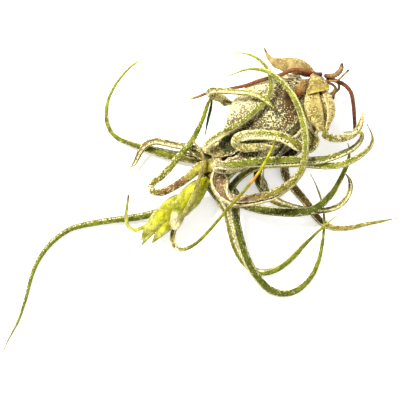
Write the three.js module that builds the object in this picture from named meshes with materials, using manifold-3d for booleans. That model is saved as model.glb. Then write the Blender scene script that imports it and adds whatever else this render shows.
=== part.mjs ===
// A small air plant, Tillandsia pruinosa, lying on its side on a table.
//
// The plant is a bulb of fleshy leaf sheaths, wrapped in three tiers round a short stem. Each
// sheath runs out into a long channelled blade that curls back on itself. From the neck of the
// bulb comes the flower spike, with two leaf-like bracts on its stalk. At the other end are the
// roots, a dry leaf, the torn base of another, and a young offset with one leaf of its own.
//
// Units are millimetres, +Z is up and the table is Z = 0. Routes are given as points plotted on
// squares as the plant lies, seen from above: squares to the right, squares down, and the height
// above the table in millimetres.
import * as THREE from "three";
import Module from "manifold-3d";
import { mergeVertices } from "three/addons/utils/BufferGeometryUtils.js";

const wasm = await Module();
wasm.setup();

// Driving dimensions
const PLANT_WIDTH = 132; // from the lowest leaf tip on the left to the tip on the far right
const PLOT_WIDTH = 396; // the same width in squares
const SQUARE = PLANT_WIDTH / PLOT_WIDTH;
const MIDDLE = { right: 201, down: 199 }; // the square under the middle of the plant
const BULB_HEIGHT = 13.95; // the bulb's axis above the table
const STEM_RADIUS = 2.6;
const STALK_RADIUS = 1.5; // the flower stalk
const WALL = 0.9; // thickness of a sheath
const BLADE_WALL = 0.8; // thickness of a blade's rim
const LAPS = [1.55, 1.55, 1.35, 0]; // how far a sheath of each tier stands over the next one
const BELLY_AT = 18; // distance along the axis to where the bulb is widest
const NECK_RUN = 30; // from there to the neck
const NARROWING = 12; // over this length a sheath narrows before its blade leaves
const LEAVING = 11; // over this length a blade rolls up after it has left
const LEAVING_HALVES = [4.2, 3.6, 3, 2.6]; // half the width of a leaf of each tier where it leaves
const BLADE_HALF_ARC = THREE.MathUtils.degToRad(150); // a blade is rolled to 300 degrees

// Points round each ring of a leaf, on its outer and its inner face
const LEAF_POINTS = [6, 5];
const WRAP_POINTS = [12, 9]; // for a sheath that goes nearly all the way round

// Rings along a blade: one for each bend of this many radians, or this many millimetres
const BEND_PER_RING = THREE.MathUtils.degToRad(24);
const LENGTH_PER_RING = 8;
const LENGTH_WHILE_ROLLING = 2.5;
const STRIP_RING_EVERY = 5;
const BLADE_SAMPLES = 16; // of a curve, between two of its points
const STRIP_SAMPLES = 12;

const UP = new THREE.Vector3(0, 0, 1);
const degrees = THREE.MathUtils.degToRad;

function spot(right, down, height) {
  return new THREE.Vector3((right - MIDDLE.right) * SQUARE, (MIDDLE.down - down) * SQUARE, height);
}

function smooth(x) {
  const c = Math.min(1, Math.max(0, x));
  return c * c * (3 - 2 * c);
}

function mix(a, b, share) {
  return a + (b - a) * share;
}

// A shoot is a straight axis with the tiers of sheaths round it
function makeShoot(base, tip, bellyAt, neckRun, tiers) {
  const axis = tip.clone().sub(base).normalize();
  const side = axis.clone().cross(UP).normalize();
  const up = side.clone().cross(axis).normalize();
  return { base, axis, side, up, bellyAt, neckRun, tiers };
}

// Radius of one tier at a distance along the axis: a pointed base, a belly and a neck
function tierRadius(shoot, tier, along) {
  const { start, belly, neck } = shoot.tiers[tier];
  if (along < shoot.bellyAt) {
    const share = (along - start) / (shoot.bellyAt - start);
    return belly * Math.sin((Math.PI / 2) * Math.max(0, share));
  }
  const share = Math.min(1, (along - shoot.bellyAt) / shoot.neckRun);
  return neck + ((belly - neck) * (1 + Math.cos(Math.PI * share))) / 2;
}

function axisPoint(shoot, along) {
  return shoot.base.clone().addScaledVector(shoot.axis, along);
}

function outward(shoot, azimuth) {
  return shoot.up.clone().multiplyScalar(Math.cos(azimuth)).addScaledVector(shoot.side, Math.sin(azimuth));
}

// A point on a tier's surface, lifted off it along the surface's own normal
function sheathPoint(shoot, tier, azimuth, along, lift) {
  const step = 0.05;
  const radius = tierRadius(shoot, tier, along);
  const ahead = tierRadius(shoot, tier, along + step);
  const slope = (ahead - tierRadius(shoot, tier, along - step)) / (2 * step);
  const out = outward(shoot, azimuth);
  const normal = out.clone().addScaledVector(shoot.axis, -slope).normalize();
  return axisPoint(shoot, along).addScaledVector(out, radius).addScaledVector(normal, lift);
}

// The points of one ring: the outer face in order, then the inner face back
function ringPoints([outerCount, innerCount], halfAngle, outerPoint, innerPoint) {
  const points = [];
  for (let i = 0; i < outerCount; i++) {
    points.push(outerPoint(mix(-halfAngle, halfAngle, i / (outerCount - 1))));
  }
  for (let i = 0; i < innerCount; i++) {
    points.push(innerPoint(mix(halfAngle, -halfAngle, i / (innerCount - 1))));
  }
  return points;
}

// Distances along the axis where a sheath has a ring, from where its tier begins to hug the stem
function sheathStations(begins, leave) {
  const stations = [];
  let along = begins;
  let gap = 1.8;
  while (along < leave - 1.6) {
    stations.push(along);
    along += gap;
    gap = Math.min(4.5, gap + 0.5);
  }
  stations.push(leave);
  return stations;
}

// The rings of a leaf's sheath
function sheathRings(leaf) {
  const { shoot, tier, azimuth, leave, halfAngle, lap } = leaf;
  const lapPerRadian = lap / degrees(shoot.tiers[tier].spacing);
  return sheathStations(leaf.begins ?? shoot.tiers[tier].begins, leave).map((along) => {
    const narrowed = smooth((along - leave + NARROWING) / NARROWING);
    const radius = tierRadius(shoot, tier, along);
    const widest = degrees(halfAngle);
    const half = mix(widest, Math.min(widest, leaf.leavingHalf / radius), narrowed);
    return ringPoints(
      leaf.points,
      half,
      (turn) => sheathPoint(shoot, tier, azimuth + turn, along, lapPerRadian * turn),
      (turn) => sheathPoint(shoot, tier, azimuth + turn, along, lapPerRadian * turn - leaf.wall),
    );
  });
}

// Fine samples along part of a curve, with the distance gone
function walk(curve, from, to, perSegment) {
  const samples = [];
  const count = Math.round((to - from) * perSegment);
  const last = curve.points.length - 1;
  let gone = 0;
  for (let i = 0; i <= count; i++) {
    const point = curve.getPoint((from + ((to - from) * i) / count) / last);
    if (i > 0) gone += point.distanceTo(samples[i - 1].point);
    samples.push({ point, gone });
  }
  for (let i = 0; i < samples.length; i++) {
    const before = samples[Math.max(0, i - 1)].point;
    const after = samples[Math.min(samples.length - 1, i + 1)].point;
    samples[i].tangent = after.clone().sub(before).normalize();
  }
  return samples;
}

// Keeps the samples where a ring is due: after enough bend, or enough length
function thin(samples, lengthAt) {
  const kept = [samples[0]];
  let due = 0;
  for (let i = 1; i < samples.length - 1; i++) {
    const bend = samples[i].tangent.angleTo(samples[i - 1].tangent);
    const length = samples[i].gone - samples[i - 1].gone;
    due += bend / BEND_PER_RING + length / lengthAt(samples[i].gone);
    if (due >= 1) {
      kept.push(samples[i]);
      due = 0;
    }
  }
  if (kept.length > 1 && due < 0.4) kept.pop();
  kept.push(samples[samples.length - 1]);
  return kept;
}

// Direction across a blade: 0 is straight up, 180 straight down, positive to the right of its way
function rolled(tangent, roll) {
  const level = UP.clone().addScaledVector(tangent, -UP.dot(tangent)).normalize();
  const right = tangent.clone().cross(level);
  return level.multiplyScalar(Math.cos(roll)).addScaledVector(right, Math.sin(roll));
}

// One ring of a blade: part of a circle with its back along `back`, open on the other side
function bladeRing(point, tangent, back, shape) {
  const { points, radius, half, wall, sink, lapPerRadian } = shape;
  const across = tangent.clone().cross(back);
  const centre = point.clone().addScaledVector(back, sink - radius);
  const inner = Math.max(radius - wall, radius * 0.28);
  const at = (turn, reach) =>
    centre
      .clone()
      .addScaledVector(back, Math.cos(turn) * reach)
      .addScaledVector(across, Math.sin(turn) * reach);
  return ringPoints(
    points,
    half / radius,
    (turn) => at(turn, radius + lapPerRadian * turn),
    (turn) => at(turn, inner + lapPerRadian * turn),
  );
}

// How far `back` is turned round the way, from straight up towards the right
function rollOf(back, way) {
  return Math.atan2(back.dot(rolled(way, Math.PI / 2)), back.dot(rolled(way, 0)));
}

// Carries `back` along the ways without twisting it, then twists it smoothly so that it has each
// listed roll at its share of the length
function carryBack(samples, firstBack, facing) {
  let back = firstBack.clone();
  let twist = 0;
  let marked = 0;
  const backs = samples.map(({ way }, i) => {
    if (i > 0) {
      const turn = new THREE.Quaternion().setFromUnitVectors(samples[i - 1].way, way);
      back = back.clone().applyQuaternion(turn);
    }
    return back;
  });
  const marks = [[0, 0]];
  for (const [share, roll] of facing) {
    marked = Math.round(share * (samples.length - 1));
    const lacking = degrees(roll) - rollOf(backs[marked], samples[marked].way) - twist;
    twist += Math.atan2(Math.sin(lacking), Math.cos(lacking));
    marks.push([share, twist]);
  }
  return backs.map((carried, i) => {
    const share = i / (samples.length - 1);
    let k = 1;
    while (k < marks.length - 1 && share > marks[k][0]) k++;
    const part = smooth((share - marks[k - 1][0]) / (marks[k][0] - marks[k - 1][0]));
    return carried.clone().applyAxisAngle(samples[i].way, mix(marks[k - 1][1], marks[k][1], part));
  });
}

// The rings of a leaf's blade, from where it leaves the bulb to its tip
function bladeRings(leaf) {
  const { shoot, tier, azimuth, leave, route } = leaf;
  const lead = [3, 1.5, 0].map((back) => sheathPoint(shoot, tier, azimuth, leave - back, 0));
  const points = [...lead, ...route.map(([right, down, height]) => spot(right, down, height))];
  const curve = new THREE.CatmullRomCurve3(points, false, "centripetal");
  const samples = walk(curve, lead.length - 1, curve.points.length - 1, BLADE_SAMPLES);
  const lapPerRadian = leaf.lap / degrees(shoot.tiers[tier].spacing);
  const rollingUp = (gone) => (gone < leaf.leaving ? LENGTH_WHILE_ROLLING : LENGTH_PER_RING);
  for (const sample of samples) {
    sample.way = shoot.axis.clone().lerp(sample.tangent, smooth(sample.gone / 6)).normalize();
  }
  const backs = carryBack(samples, outward(shoot, azimuth), leaf.facing);
  samples.forEach((sample, i) => {
    sample.back = backs[i];
    sample.size = sizeAt(route, i / BLADE_SAMPLES - 1);
  });
  const rings = thin(samples, rollingUp).slice(1);
  return rings.map(({ point, way, back, gone, size: narrow }) => {
    const left = smooth(gone / leaf.leaving);
    const radius = 1 / mix(1 / tierRadius(shoot, tier, leave), 1 / narrow, left);
    return bladeRing(point, way, back, {
      points: leaf.points,
      radius,
      half: mix(leaf.leavingHalf, narrow * BLADE_HALF_ARC, left),
      wall: mix(leaf.wall, BLADE_WALL, left),
      sink: left * narrow,
      lapPerRadian: (1 - left) * lapPerRadian,
    });
  });
}

// A free strip with no sheath, such as a bract: each route point also has its half width
function freeRings(strip) {
  const samples = walkRoute(strip.route);
  const length = samples[samples.length - 1].gone;
  return thin(samples, () => STRIP_RING_EVERY).map(({ point, tangent, gone, size }) => {
    const share = smooth(gone / length);
    const halfAngle = degrees(mix(strip.arc[0], strip.arc[1], share));
    const radius = size / Math.sin(Math.min(Math.PI / 2, halfAngle));
    const back = rolled(tangent, degrees(mix(strip.rolls[0], strip.rolls[1], share)));
    return bladeRing(point, tangent, back, {
      points: LEAF_POINTS,
      radius,
      half: halfAngle * radius,
      wall: strip.wall,
      sink: 0,
      lapPerRadian: 0,
    });
  });
}

// The size between the fourth numbers of a route's points
function sizeAt(route, place) {
  const at = Math.max(0, place);
  const k = Math.min(route.length - 2, Math.floor(at));
  return mix(route[k][3], route[k + 1][3], smooth(at - k));
}

// Samples along plotted points whose fourth number is a size, carried along as well
function walkRoute(route) {
  const points = route.map(([right, down, height]) => spot(right, down, height));
  const curve = new THREE.CatmullRomCurve3(points, false, "centripetal");
  const samples = walk(curve, 0, route.length - 1, STRIP_SAMPLES);
  samples.forEach((sample, i) => {
    sample.size = sizeAt(route, i / STRIP_SAMPLES);
  });
  return samples;
}

function geometryFrom(positions, index) {
  const geometry = new THREE.BufferGeometry();
  geometry.setAttribute("position", new THREE.Float32BufferAttribute(positions, 3));
  geometry.setIndex(index);
  geometry.computeVertexNormals();
  return geometry;
}

// A closed solid through rings of points: side faces between rings, and the given end triangles.
// Faces of the inner side are split the same way as those of the outer side behind them.
function solidFromRings(rings, outerCount, cap) {
  const count = rings[0].length;
  const positions = rings.flat().flatMap((p) => [p.x, p.y, p.z]);
  const index = [];
  for (let ring = 0; ring + 1 < rings.length; ring++) {
    for (let i = 0; i < count; i++) {
      const a = ring * count + i;
      const b = ring * count + ((i + 1) % count);
      const c = b + count;
      const d = a + count;
      if (i < outerCount) index.push(a, b, c, a, c, d);
      else index.push(a, b, d, b, c, d);
    }
  }
  const lastRing = (rings.length - 1) * count;
  for (const [a, b, c] of cap) {
    index.push(c, b, a);
    index.push(lastRing + a, lastRing + b, lastRing + c);
  }
  return geometryFrom(positions, index);
}

// The end of a strip: triangles zipped between its outer and its inner points
function stripCap([outerCount, innerCount]) {
  const triangles = [];
  const innerAt = (i) => outerCount + innerCount - 1 - i;
  let outer = 0;
  let inner = 0;
  while (outer < outerCount - 1 || inner < innerCount - 1) {
    const outerNext = (outer + 1) / (outerCount - 1);
    const innerNext = (inner + 1) / (innerCount - 1);
    if (outer < outerCount - 1 && outerNext <= innerNext) {
      triangles.push([outer, outer + 1, innerAt(inner)]);
      outer++;
    } else {
      triangles.push([outer, innerAt(inner + 1), innerAt(inner)]);
      inner++;
    }
  }
  return triangles;
}

function leafGeometry(leaf) {
  const rings = [...sheathRings(leaf), ...pressedOnTable(bladeRings(leaf))];
  return solidFromRings(rings, leaf.points[0], stripCap(leaf.points));
}

function sheathGeometry(leaf) {
  return solidFromRings(sheathRings(leaf), leaf.points[0], stripCap(leaf.points));
}

function stripGeometry(strip) {
  return solidFromRings(freeRings(strip), LEAF_POINTS[0], stripCap(LEAF_POINTS));
}

// A round tube along plotted points, with a radius at each point
function tubeGeometry(route, sides, ringEvery) {
  const rings = thin(walkRoute(route), () => ringEvery).map(({ point, tangent, size }) =>
    Array.from({ length: sides }, (_, i) =>
      point.clone().addScaledVector(rolled(tangent, (2 * Math.PI * i) / sides), size),
    ),
  );
  const cap = Array.from({ length: sides - 2 }, (_, i) => [0, i + 1, i + 2]);
  return solidFromRings(rings, sides, cap);
}

function toSolid(geometry) {
  const bare = geometry.clone();
  bare.deleteAttribute("normal");
  bare.deleteAttribute("uv");
  const merged = mergeVertices(bare, 1e-5);
  return new wasm.Manifold(
    new wasm.Mesh({
      numProp: 3,
      vertProperties: new Float32Array(merged.attributes.position.array),
      triVerts: new Uint32Array(merged.index.array),
    }),
  );
}

function fromSolid(solid) {
  const mesh = solid.getMesh();
  return geometryFrom(Array.from(mesh.vertProperties), Array.from(mesh.triVerts));
}

// Flattens rings that would reach below the table
function pressedOnTable(rings) {
  return rings.map((ring) => ring.map((p) => p.setZ(Math.max(0, p.z))));
}

// Cuts a solid off flat at the table, for the spot that the bulb rests on
function flattenedBelow(geometry) {
  const block = new THREE.BoxGeometry(400, 400, 10);
  block.translate(0, 0, -5);
  return fromSolid(toSolid(geometry).subtract(toSolid(block)));
}

// Joins solids into one body, without scraps and with any hollow inside it filled
function fused(geometries) {
  const [first, ...rest] = geometries.map(toSolid);
  const pieces = rest.reduce((whole, next) => whole.add(next), first).decompose();
  return fromSolid(pieces.sort((a, b) => b.volume() - a.volume())[0]);
}

// The bulb, from the root end to the neck. begins is where a tier starts to hug the stem, and
// spacing is the angle between its leaves. The fourth tier holds the two bracts on the stalk.
const BULB = makeShoot(spot(318, 80, BULB_HEIGHT), spot(216, 173, BULB_HEIGHT), BELLY_AT, NECK_RUN, [
  { start: 0, begins: 4.1, belly: 14.2, neck: 10.9, spacing: 72 },
  { start: 3.4, begins: 7.9, belly: 10.7, neck: 7.4, spacing: 72 },
  { start: 6.8, begins: 12.2, belly: 7.2, neck: 3.9, spacing: 90 },
  { start: 6.8, begins: 46.6, belly: 2.7, neck: 2.7, spacing: 180 },
]);

// The offset, a young shoot that grows from the stem's root end and lies on the bulb
const OFFSET = makeShoot(spot(315, 86, 28.2), spot(323.5, 136, 28.2), 8, 9, [
  { start: -3, begins: 0.4, belly: 5.3, neck: 2.7, spacing: 360 },
  { start: -1, begins: 3.2, belly: 3.7, neck: 1.55, spacing: 360 },
]);

const SILVER_GREEN = 0x8c9468;
const BULB_SILVER = 0xa9a184;
const OLIVE = 0x9a9a4c;
const LIME = 0xb4c23a;
const STRAW = 0xc9b270;
const DRY_BROWN = 0xb07a3a;
const ROOT_BROWN = 0x7a3e22;

// The leaves of the bulb. azimuth is where the sheath sits round the axis, from the top towards
// the upper left, and leave is the distance along the axis where the blade leaves it. Each route
// point also has the blade's radius there. facing turns the blade's back to a roll at a share of
// its length: at 180 the back is down and the channel opens upward.
const BULB_LEAVES = [
  // Curls over the top of the bulb to the upper left
  {
    name: "leaf_outer_1",
    tier: 0,
    azimuth: 25,
    leave: 36,
    facing: [[0.3, 190], [0.42, 240], [1, 250]],
    route: [
      [219, 150, 22.8, 1.5], [211.5, 150, 23.2, 1.5], [207.2, 148.8, 24.3, 1.5], [206, 146.6, 26, 1.45],
      [208.8, 143.6, 27.8, 1.45], [216, 138.2, 28.5, 1.4], [226, 131.7, 29.2, 1.2],
      [236, 126.2, 29.4, 1.1], [246, 119.3, 29.8, 1.05], [256, 110.8, 30.3, 1.05],
      [263.5, 103.5, 30.6, 1], [269, 95, 30.7, 0.95], [271, 84, 30.2, 0.9], [268.8, 72.8, 29.2, 0.8],
      [262, 63, 28, 0.65], [254, 57.3, 27, 0.5], [244, 53.9, 26, 0.4], [233, 53, 25, 0.35],
    ],
  },
  // Short and stout, folded back over the bulb from its upper left side
  {
    name: "leaf_outer_2",
    tier: 0,
    azimuth: 97,
    leave: 25,
    leaving: 6,
    leavingHalf: 3.6,
    facing: [[0.5, 185], [1, 185]],
    route: [
      [232, 101, 13.2, 1.5], [223.5, 99.3, 15.4, 1.55], [215, 96.6, 18.4, 1.6], [210.3, 94, 21.4, 1.5],
      [211.3, 91.5, 23.8, 1.3], [220, 91.3, 24.9, 1.1], [235, 92.4, 27, 1], [250, 93.8, 29.5, 0.95],
      [259, 97, 32, 0.9], [266, 101.8, 33.5, 0.8], [272, 107.3, 33.4, 0.65], [276.6, 112, 32.5, 0.4],
    ],
  },
  // Low along the table to the left, then up in a wide arc
  {
    name: "leaf_outer_3",
    tier: 0,
    azimuth: 169,
    leave: 34,
    facing: [[0.12, 185], [0.3, 250], [1, 270]],
    route: [
      [224, 153, 3.9, 1.8], [210, 157.5, 3.9, 1.9], [196, 158, 3.8, 1.9], [184, 156.8, 3.4, 1.8],
      [172, 155, 3.1, 1.7], [160, 152, 3, 1.55], [150, 149, 2.8, 1.35], [138, 145.8, 2.5, 1.1],
      [128, 142.3, 2.3, 0.9], [118, 138, 2.2, 0.85], [110.5, 131, 2.2, 0.8], [106.5, 121, 2.2, 0.75],
      [106, 110, 2.4, 0.68], [108.3, 99, 2.6, 0.6], [113, 88.5, 3, 0.56], [120, 78, 3.4, 0.5],
      [130, 67, 3.9, 0.44], [140, 60, 4.2, 0.38], [150, 55.5, 4.5, 0.33],
    ],
  },
  // Down to the table and out to the far right
  {
    name: "leaf_outer_4",
    tier: 0,
    azimuth: -119,
    leave: 20,
    facing: [[0.35, 240], [0.6, 240], [1, 265]],
    route: [
      [289, 157, 6.5, 1.5], [285, 167, 5, 1.5], [286.5, 177, 3.6, 1.45], [293, 186.5, 2.6, 1.4],
      [301.5, 196.5, 1.9, 1.35], [309, 206, 1.7, 1.3], [315, 214.5, 1.6, 1.25],
      [322.5, 222.5, 1.5, 1.15], [331, 227, 1.4, 1.05], [341, 228.4, 1.4, 1], [352, 227.4, 1.4, 0.9],
      [362, 225.2, 1.4, 0.8], [374, 222.7, 1.7, 0.65], [386, 220.6, 2.2, 0.5], [399, 218, 3, 0.33],
    ],
  },
  // Thick, folded back on itself on top of the bulb
  {
    name: "leaf_outer_5",
    tier: 0,
    azimuth: -47,
    leave: 12,
    leaving: 7,
    leavingHalf: 2.6,
    facing: [[0.4, 150], [0.55, 150], [0.8, 60], [1, 60]],
    route: [
      [311.8, 133, 24.1, 2.1], [313.2, 141, 25.8, 2], [309, 147.5, 27.6, 1.95], [300, 147, 28.8, 1.9],
      [290, 141.5, 29.7, 1.85], [280, 137.4, 30.2, 1.8], [269, 135.6, 30.5, 1.75],
      [257, 135.1, 30.6, 1.75], [246, 135.8, 30.6, 1.75], [238.2, 138, 30.3, 1.65],
      [235.3, 142, 29.2, 1.55], [238, 146.2, 28, 1.5], [245, 147.9, 27.7, 1.5],
      [256, 147.5, 27.8, 1.45], [268, 147, 27.9, 1.3], [277, 146.6, 28, 0.8],
    ],
  },
  // Starts the neck's big loop round the whole right half of the plant
  {
    name: "leaf_middle_1",
    tier: 1,
    azimuth: 44,
    leave: 41,
    leaving: 20,
    leavingHalf: 2.4,
    facing: [[0.14, 170], [0.26, 220], [0.5, 238], [1, 250]],
    route: [
      [215.3, 160, 20.9, 1.85], [215.1, 170, 21.2, 1.9], [216.4, 182, 21.6, 2.2],
      [221.6, 193.6, 21.8, 2.25], [232.5, 200.4, 21.6, 2.15], [246, 200.6, 21.6, 2.05],
      [260, 198.3, 21.7, 1.9], [272, 195, 21.9, 1.8], [283, 189, 23, 1.6], [291.5, 182.5, 24.8, 1.45],
      [298.5, 174.5, 27.2, 1.3], [302.8, 165, 29.4, 1.2], [304.7, 152, 31.8, 1.15],
      [304.8, 139, 33.2, 1.15], [302.8, 125, 33.5, 1.15], [299, 111, 33.5, 1.1],
      [293.2, 98, 33.5, 1.05], [286.5, 88.3, 33, 0.95], [278.3, 79.8, 32.5, 0.95],
      [269.5, 73.3, 31.8, 0.85], [260, 70.3, 30.5, 0.7], [248, 69.8, 29, 0.5], [235, 73.8, 27, 0.35],
      [219, 81, 25, 0.33],
    ],
  },
  // Short, to the left, with a drooping end
  {
    name: "leaf_middle_2",
    tier: 1,
    azimuth: 116,
    leave: 40,
    facing: [[0.4, 165], [1, 165]],
    route: [
      [209, 150, 12, 1.3], [198, 148.8, 12, 1.3], [187, 146.8, 11.5, 1.25], [176, 145.2, 10, 1.2],
      [165, 142.7, 8.5, 1.2], [155, 141.3, 7.5, 1.2], [146.5, 144.3, 6.6, 1.15], [140.3, 151.5, 5.6, 1],
      [135.8, 160.5, 4.6, 0.85], [131.5, 167, 3.9, 0.75], [128.5, 169.8, 3.5, 0.65],
    ],
  },
  // Low under the neck, then round to the right
  {
    name: "leaf_middle_3",
    tier: 1,
    azimuth: -172,
    leave: 40,
    facing: [[0.3, 110], [1, 95]],
    route: [
      [222, 174, 6, 1.5], [222, 188, 5.6, 1.5], [232, 199.5, 5.6, 1.5], [247, 206, 6.4, 1.4],
      [262, 209.5, 7.5, 1.6], [276, 211.2, 8.4, 1.65], [290, 212.2, 9.1, 1.65], [301, 211.8, 9.6, 1.55],
      [311, 210.3, 9.8, 1.4], [320, 205.3, 10, 1.3], [328, 197.8, 10, 1.2], [334.5, 189.5, 9.8, 1],
      [340, 180, 9.5, 0.9], [344.3, 171, 9.3, 0.85], [348.5, 160, 9, 0.75], [349.5, 151, 8.8, 0.65],
      [348, 143, 8.6, 0.5],
    ],
  },
  // A hook from under the bulb to the right
  {
    name: "leaf_middle_4",
    tier: 1,
    azimuth: -100,
    leave: 32,
    facing: [[0.4, 150], [0.7, 195], [1, 200]],
    route: [
      [262, 172, 11, 1.9], [261.5, 182, 8.5, 1.9], [265.5, 192, 7, 1.6], [274, 199.5, 6.3, 1.4],
      [285, 204.5, 6, 1.2], [298, 208.3, 6, 1.15], [312, 210.8, 6, 1.05], [326, 210.3, 6.2, 0.95],
      [338, 206.3, 6.5, 0.95], [346.3, 199, 6.8, 0.9], [350.8, 188, 6.8, 0.8], [349.3, 178.5, 6.6, 0.7],
      [344, 171.5, 6.4, 0.5],
    ],
  },
  // Turns over at the neck and runs straight back across the bulb to the right
  {
    name: "leaf_middle_5",
    tier: 1,
    azimuth: -28,
    leave: 37,
    facing: [[0.32, 238], [1, 230]],
    route: [
      [234, 168, 23.2, 1.6], [225, 169.5, 25.3, 1.5], [218.5, 169.3, 26.2, 1.4],
      [214.4, 167.6, 27.8, 1.3], [217.5, 165, 30.2, 1.35], [226, 165.8, 30.2, 1.5],
      [237, 164.7, 29.5, 1.6], [250, 162.8, 28.2, 1.65], [265, 162, 26.9, 1.75], [281, 161.6, 26, 1.75],
      [297, 161.3, 26, 1.7], [311, 161.3, 25, 1.5], [323, 159.6, 23.3, 1.3], [333, 157, 21.6, 1.2],
      [342, 153.8, 20, 1.1], [351, 149.5, 18.3, 1], [357.5, 144.3, 17, 0.9], [361.5, 138, 15.8, 0.8],
      [361, 132.8, 15, 0.65], [354, 131.8, 14.5, 0.5], [343.5, 132.3, 14.5, 0.35],
    ],
  },
  // Out beside the flower spike, then doubled back to the upper right
  {
    name: "leaf_inner_1",
    tier: 2,
    azimuth: 40,
    leave: 44,
    facing: [[0.12, 20], [0.45, 275], [1, 270]],
    route: [
      [205, 166, 16.4, 1.5], [198.5, 168.8, 17, 1.5], [190.8, 175, 17, 1.45], [181.6, 181.8, 16.6, 1.4],
      [172.4, 187.4, 16, 1.35], [163.3, 191.5, 15.9, 1.4], [156.8, 192.4, 15.6, 1.35],
      [152.2, 190.8, 14.7, 1.2], [150.8, 187.3, 13.3, 1.15], [153.2, 182.9, 12.3, 1.25],
      [160.5, 177.3, 12.4, 1.3], [168, 170, 13.2, 1.3], [176, 160.3, 14.2, 1.25],
      [184.7, 150, 14.8, 1.15], [192.4, 140, 14.8, 1.05], [198, 129.5, 14.2, 0.9],
      [202.6, 119, 13.2, 0.8], [206, 109.5, 12.8, 0.7], [208.6, 102, 12.6, 0.55],
      [210.8, 98.8, 11.7, 0.45], [211.6, 101.8, 10.5, 0.45], [210.5, 109, 10.2, 0.55],
      [208.3, 118, 10.4, 0.55], [206.3, 128, 10.7, 0.5], [204.6, 139, 11.1, 0.36],
    ],
  },
  // Under the others and along the table, a shallow bow to the right
  {
    name: "leaf_inner_2",
    tier: 2,
    azimuth: 130,
    leave: 44,
    facing: [[0.3, 160], [0.5, 160], [0.7, 100], [1, 90]],
    route: [
      [208, 167, 9.6, 1.4], [205, 177, 8, 1.4], [210.5, 188, 6.6, 1.35], [218.5, 199, 5.5, 1.3],
      [225.5, 211, 4.4, 1.3], [229.5, 224, 3.4, 1.3], [232.5, 238, 2.4, 1.25], [237.5, 252, 1.6, 1.2],
      [245, 263.5, 1.35, 1.15], [254, 270.5, 1.25, 1.15], [264, 272.5, 1.2, 1.15],
      [274.5, 270.3, 1.3, 1.12], [285, 264.3, 1.7, 1.02], [295, 255.3, 2.4, 0.95],
      [304, 245.5, 3.4, 0.85], [313, 236.6, 4.6, 0.6], [322, 228.2, 6, 0.48], [329, 222, 6.6, 0.36],
      [337, 216, 6.5, 0.33],
    ],
  },
  // The lowest big loop, with its bottom on the table
  {
    name: "leaf_inner_3",
    tier: 2,
    azimuth: -140,
    leave: 44,
    facing: [[0.3, 245], [0.6, 265], [1, 265]],
    route: [
      [227.5, 186.5, 10.5, 2], [234, 194, 10.1, 2], [235.3, 203, 9.7, 1.9], [234.8, 213, 9.1, 1.7],
      [236.2, 224, 8.4, 1.6], [239.6, 238, 7.4, 1.55], [243.4, 251, 6.3, 1.5], [248.8, 264, 5.2, 1.5],
      [257, 277, 4.1, 1.45], [266.5, 287.5, 3, 1.4], [276.5, 292.8, 2.1, 1.35], [287, 294, 1.6, 1.25],
      [297.5, 290.6, 1.5, 1.15], [307, 283, 1.6, 1.05], [314.3, 272.5, 1.9, 0.95],
      [319.3, 260, 2.4, 0.78], [322.3, 247, 3, 0.7], [324, 234, 3.6, 0.56], [324.6, 221, 4, 0.42],
      [323.8, 209, 3.8, 0.38], [320.5, 196, 3.5, 0.35], [315.5, 183, 3.7, 0.33], [311, 174, 4, 0.33],
    ],
  },
  // Turns under the neck and runs back to the right beside leaf_middle_5
  {
    name: "leaf_inner_4",
    tier: 2,
    azimuth: -50,
    leave: 44,
    facing: [[0.35, 245], [1, 235]],
    route: [
      [223.5, 181.3, 15.1, 1.3], [219.5, 187, 14.4, 1.3], [223.2, 192, 14.9, 1.3],
      [231, 187.5, 16, 1.25], [237, 180.5, 17.8, 1.15], [244.5, 174, 20.4, 1.15],
      [254, 168.5, 22.2, 1.15], [266, 165.4, 22.8, 1.15], [282, 164.2, 22.6, 1.2],
      [298, 163.8, 22.4, 1.2], [312, 165, 21.9, 1.2], [325, 166.2, 21.2, 1.2], [335, 165.8, 20.6, 1.2],
      [343, 164.2, 20, 1.15], [351, 161, 19.4, 1.05], [360, 155.8, 18.3, 0.95],
      [367, 150.3, 17.3, 0.85], [371.3, 144, 16.5, 0.75], [372.6, 138.5, 16, 0.65],
      [370.8, 132, 15.5, 0.5], [366.8, 124, 15, 0.33],
    ],
  },
  // The longest: a bract of the flower stalk, low to the left and down to the lowest tip
  {
    name: "leaf_stalk_1",
    tier: 3,
    azimuth: 138,
    leave: 50,
    halfAngle: 45,
    leavingHalf: 2.1,
    facing: [[0.25, 235], [0.4, 225], [0.7, 225], [1, 250]],
    route: [
      [199.5, 181.5, 10, 1.25], [190, 190, 7.5, 1.25], [178, 201, 5.2, 1.3], [166, 208.5, 3.8, 1.3],
      [152, 213.7, 2.9, 1.25], [140, 216.5, 2.4, 1.25], [128, 218.3, 2.1, 1.2], [112, 220.2, 1.8, 1.1],
      [98, 222.3, 1.6, 1.05], [82, 225.3, 1.5, 1], [70, 229, 1.4, 0.92], [60, 235, 1.3, 0.9],
      [50, 243.5, 1.2, 0.85], [42, 253.5, 1.2, 0.8], [35.5, 264.5, 1.1, 0.72], [31, 276, 1, 0.65],
      [28, 287, 0.95, 0.6], [25.5, 297, 0.9, 0.55], [22, 308.5, 0.8, 0.48], [18, 320, 0.7, 0.42],
      [12.5, 331, 0.6, 0.36], [7, 341, 0.5, 0.33], [3, 350, 0.45, 0.33],
    ],
  },
  // A thin bract of the stalk that comes out under the spike and crosses over everything
  {
    name: "leaf_stalk_2",
    tier: 3,
    begins: 51.5,
    azimuth: -170,
    leave: 54,
    halfAngle: 35,
    leavingHalf: 1.6,
    facing: [[0.12, 125], [0.25, 125], [0.5, 90], [1, 90]],
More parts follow.
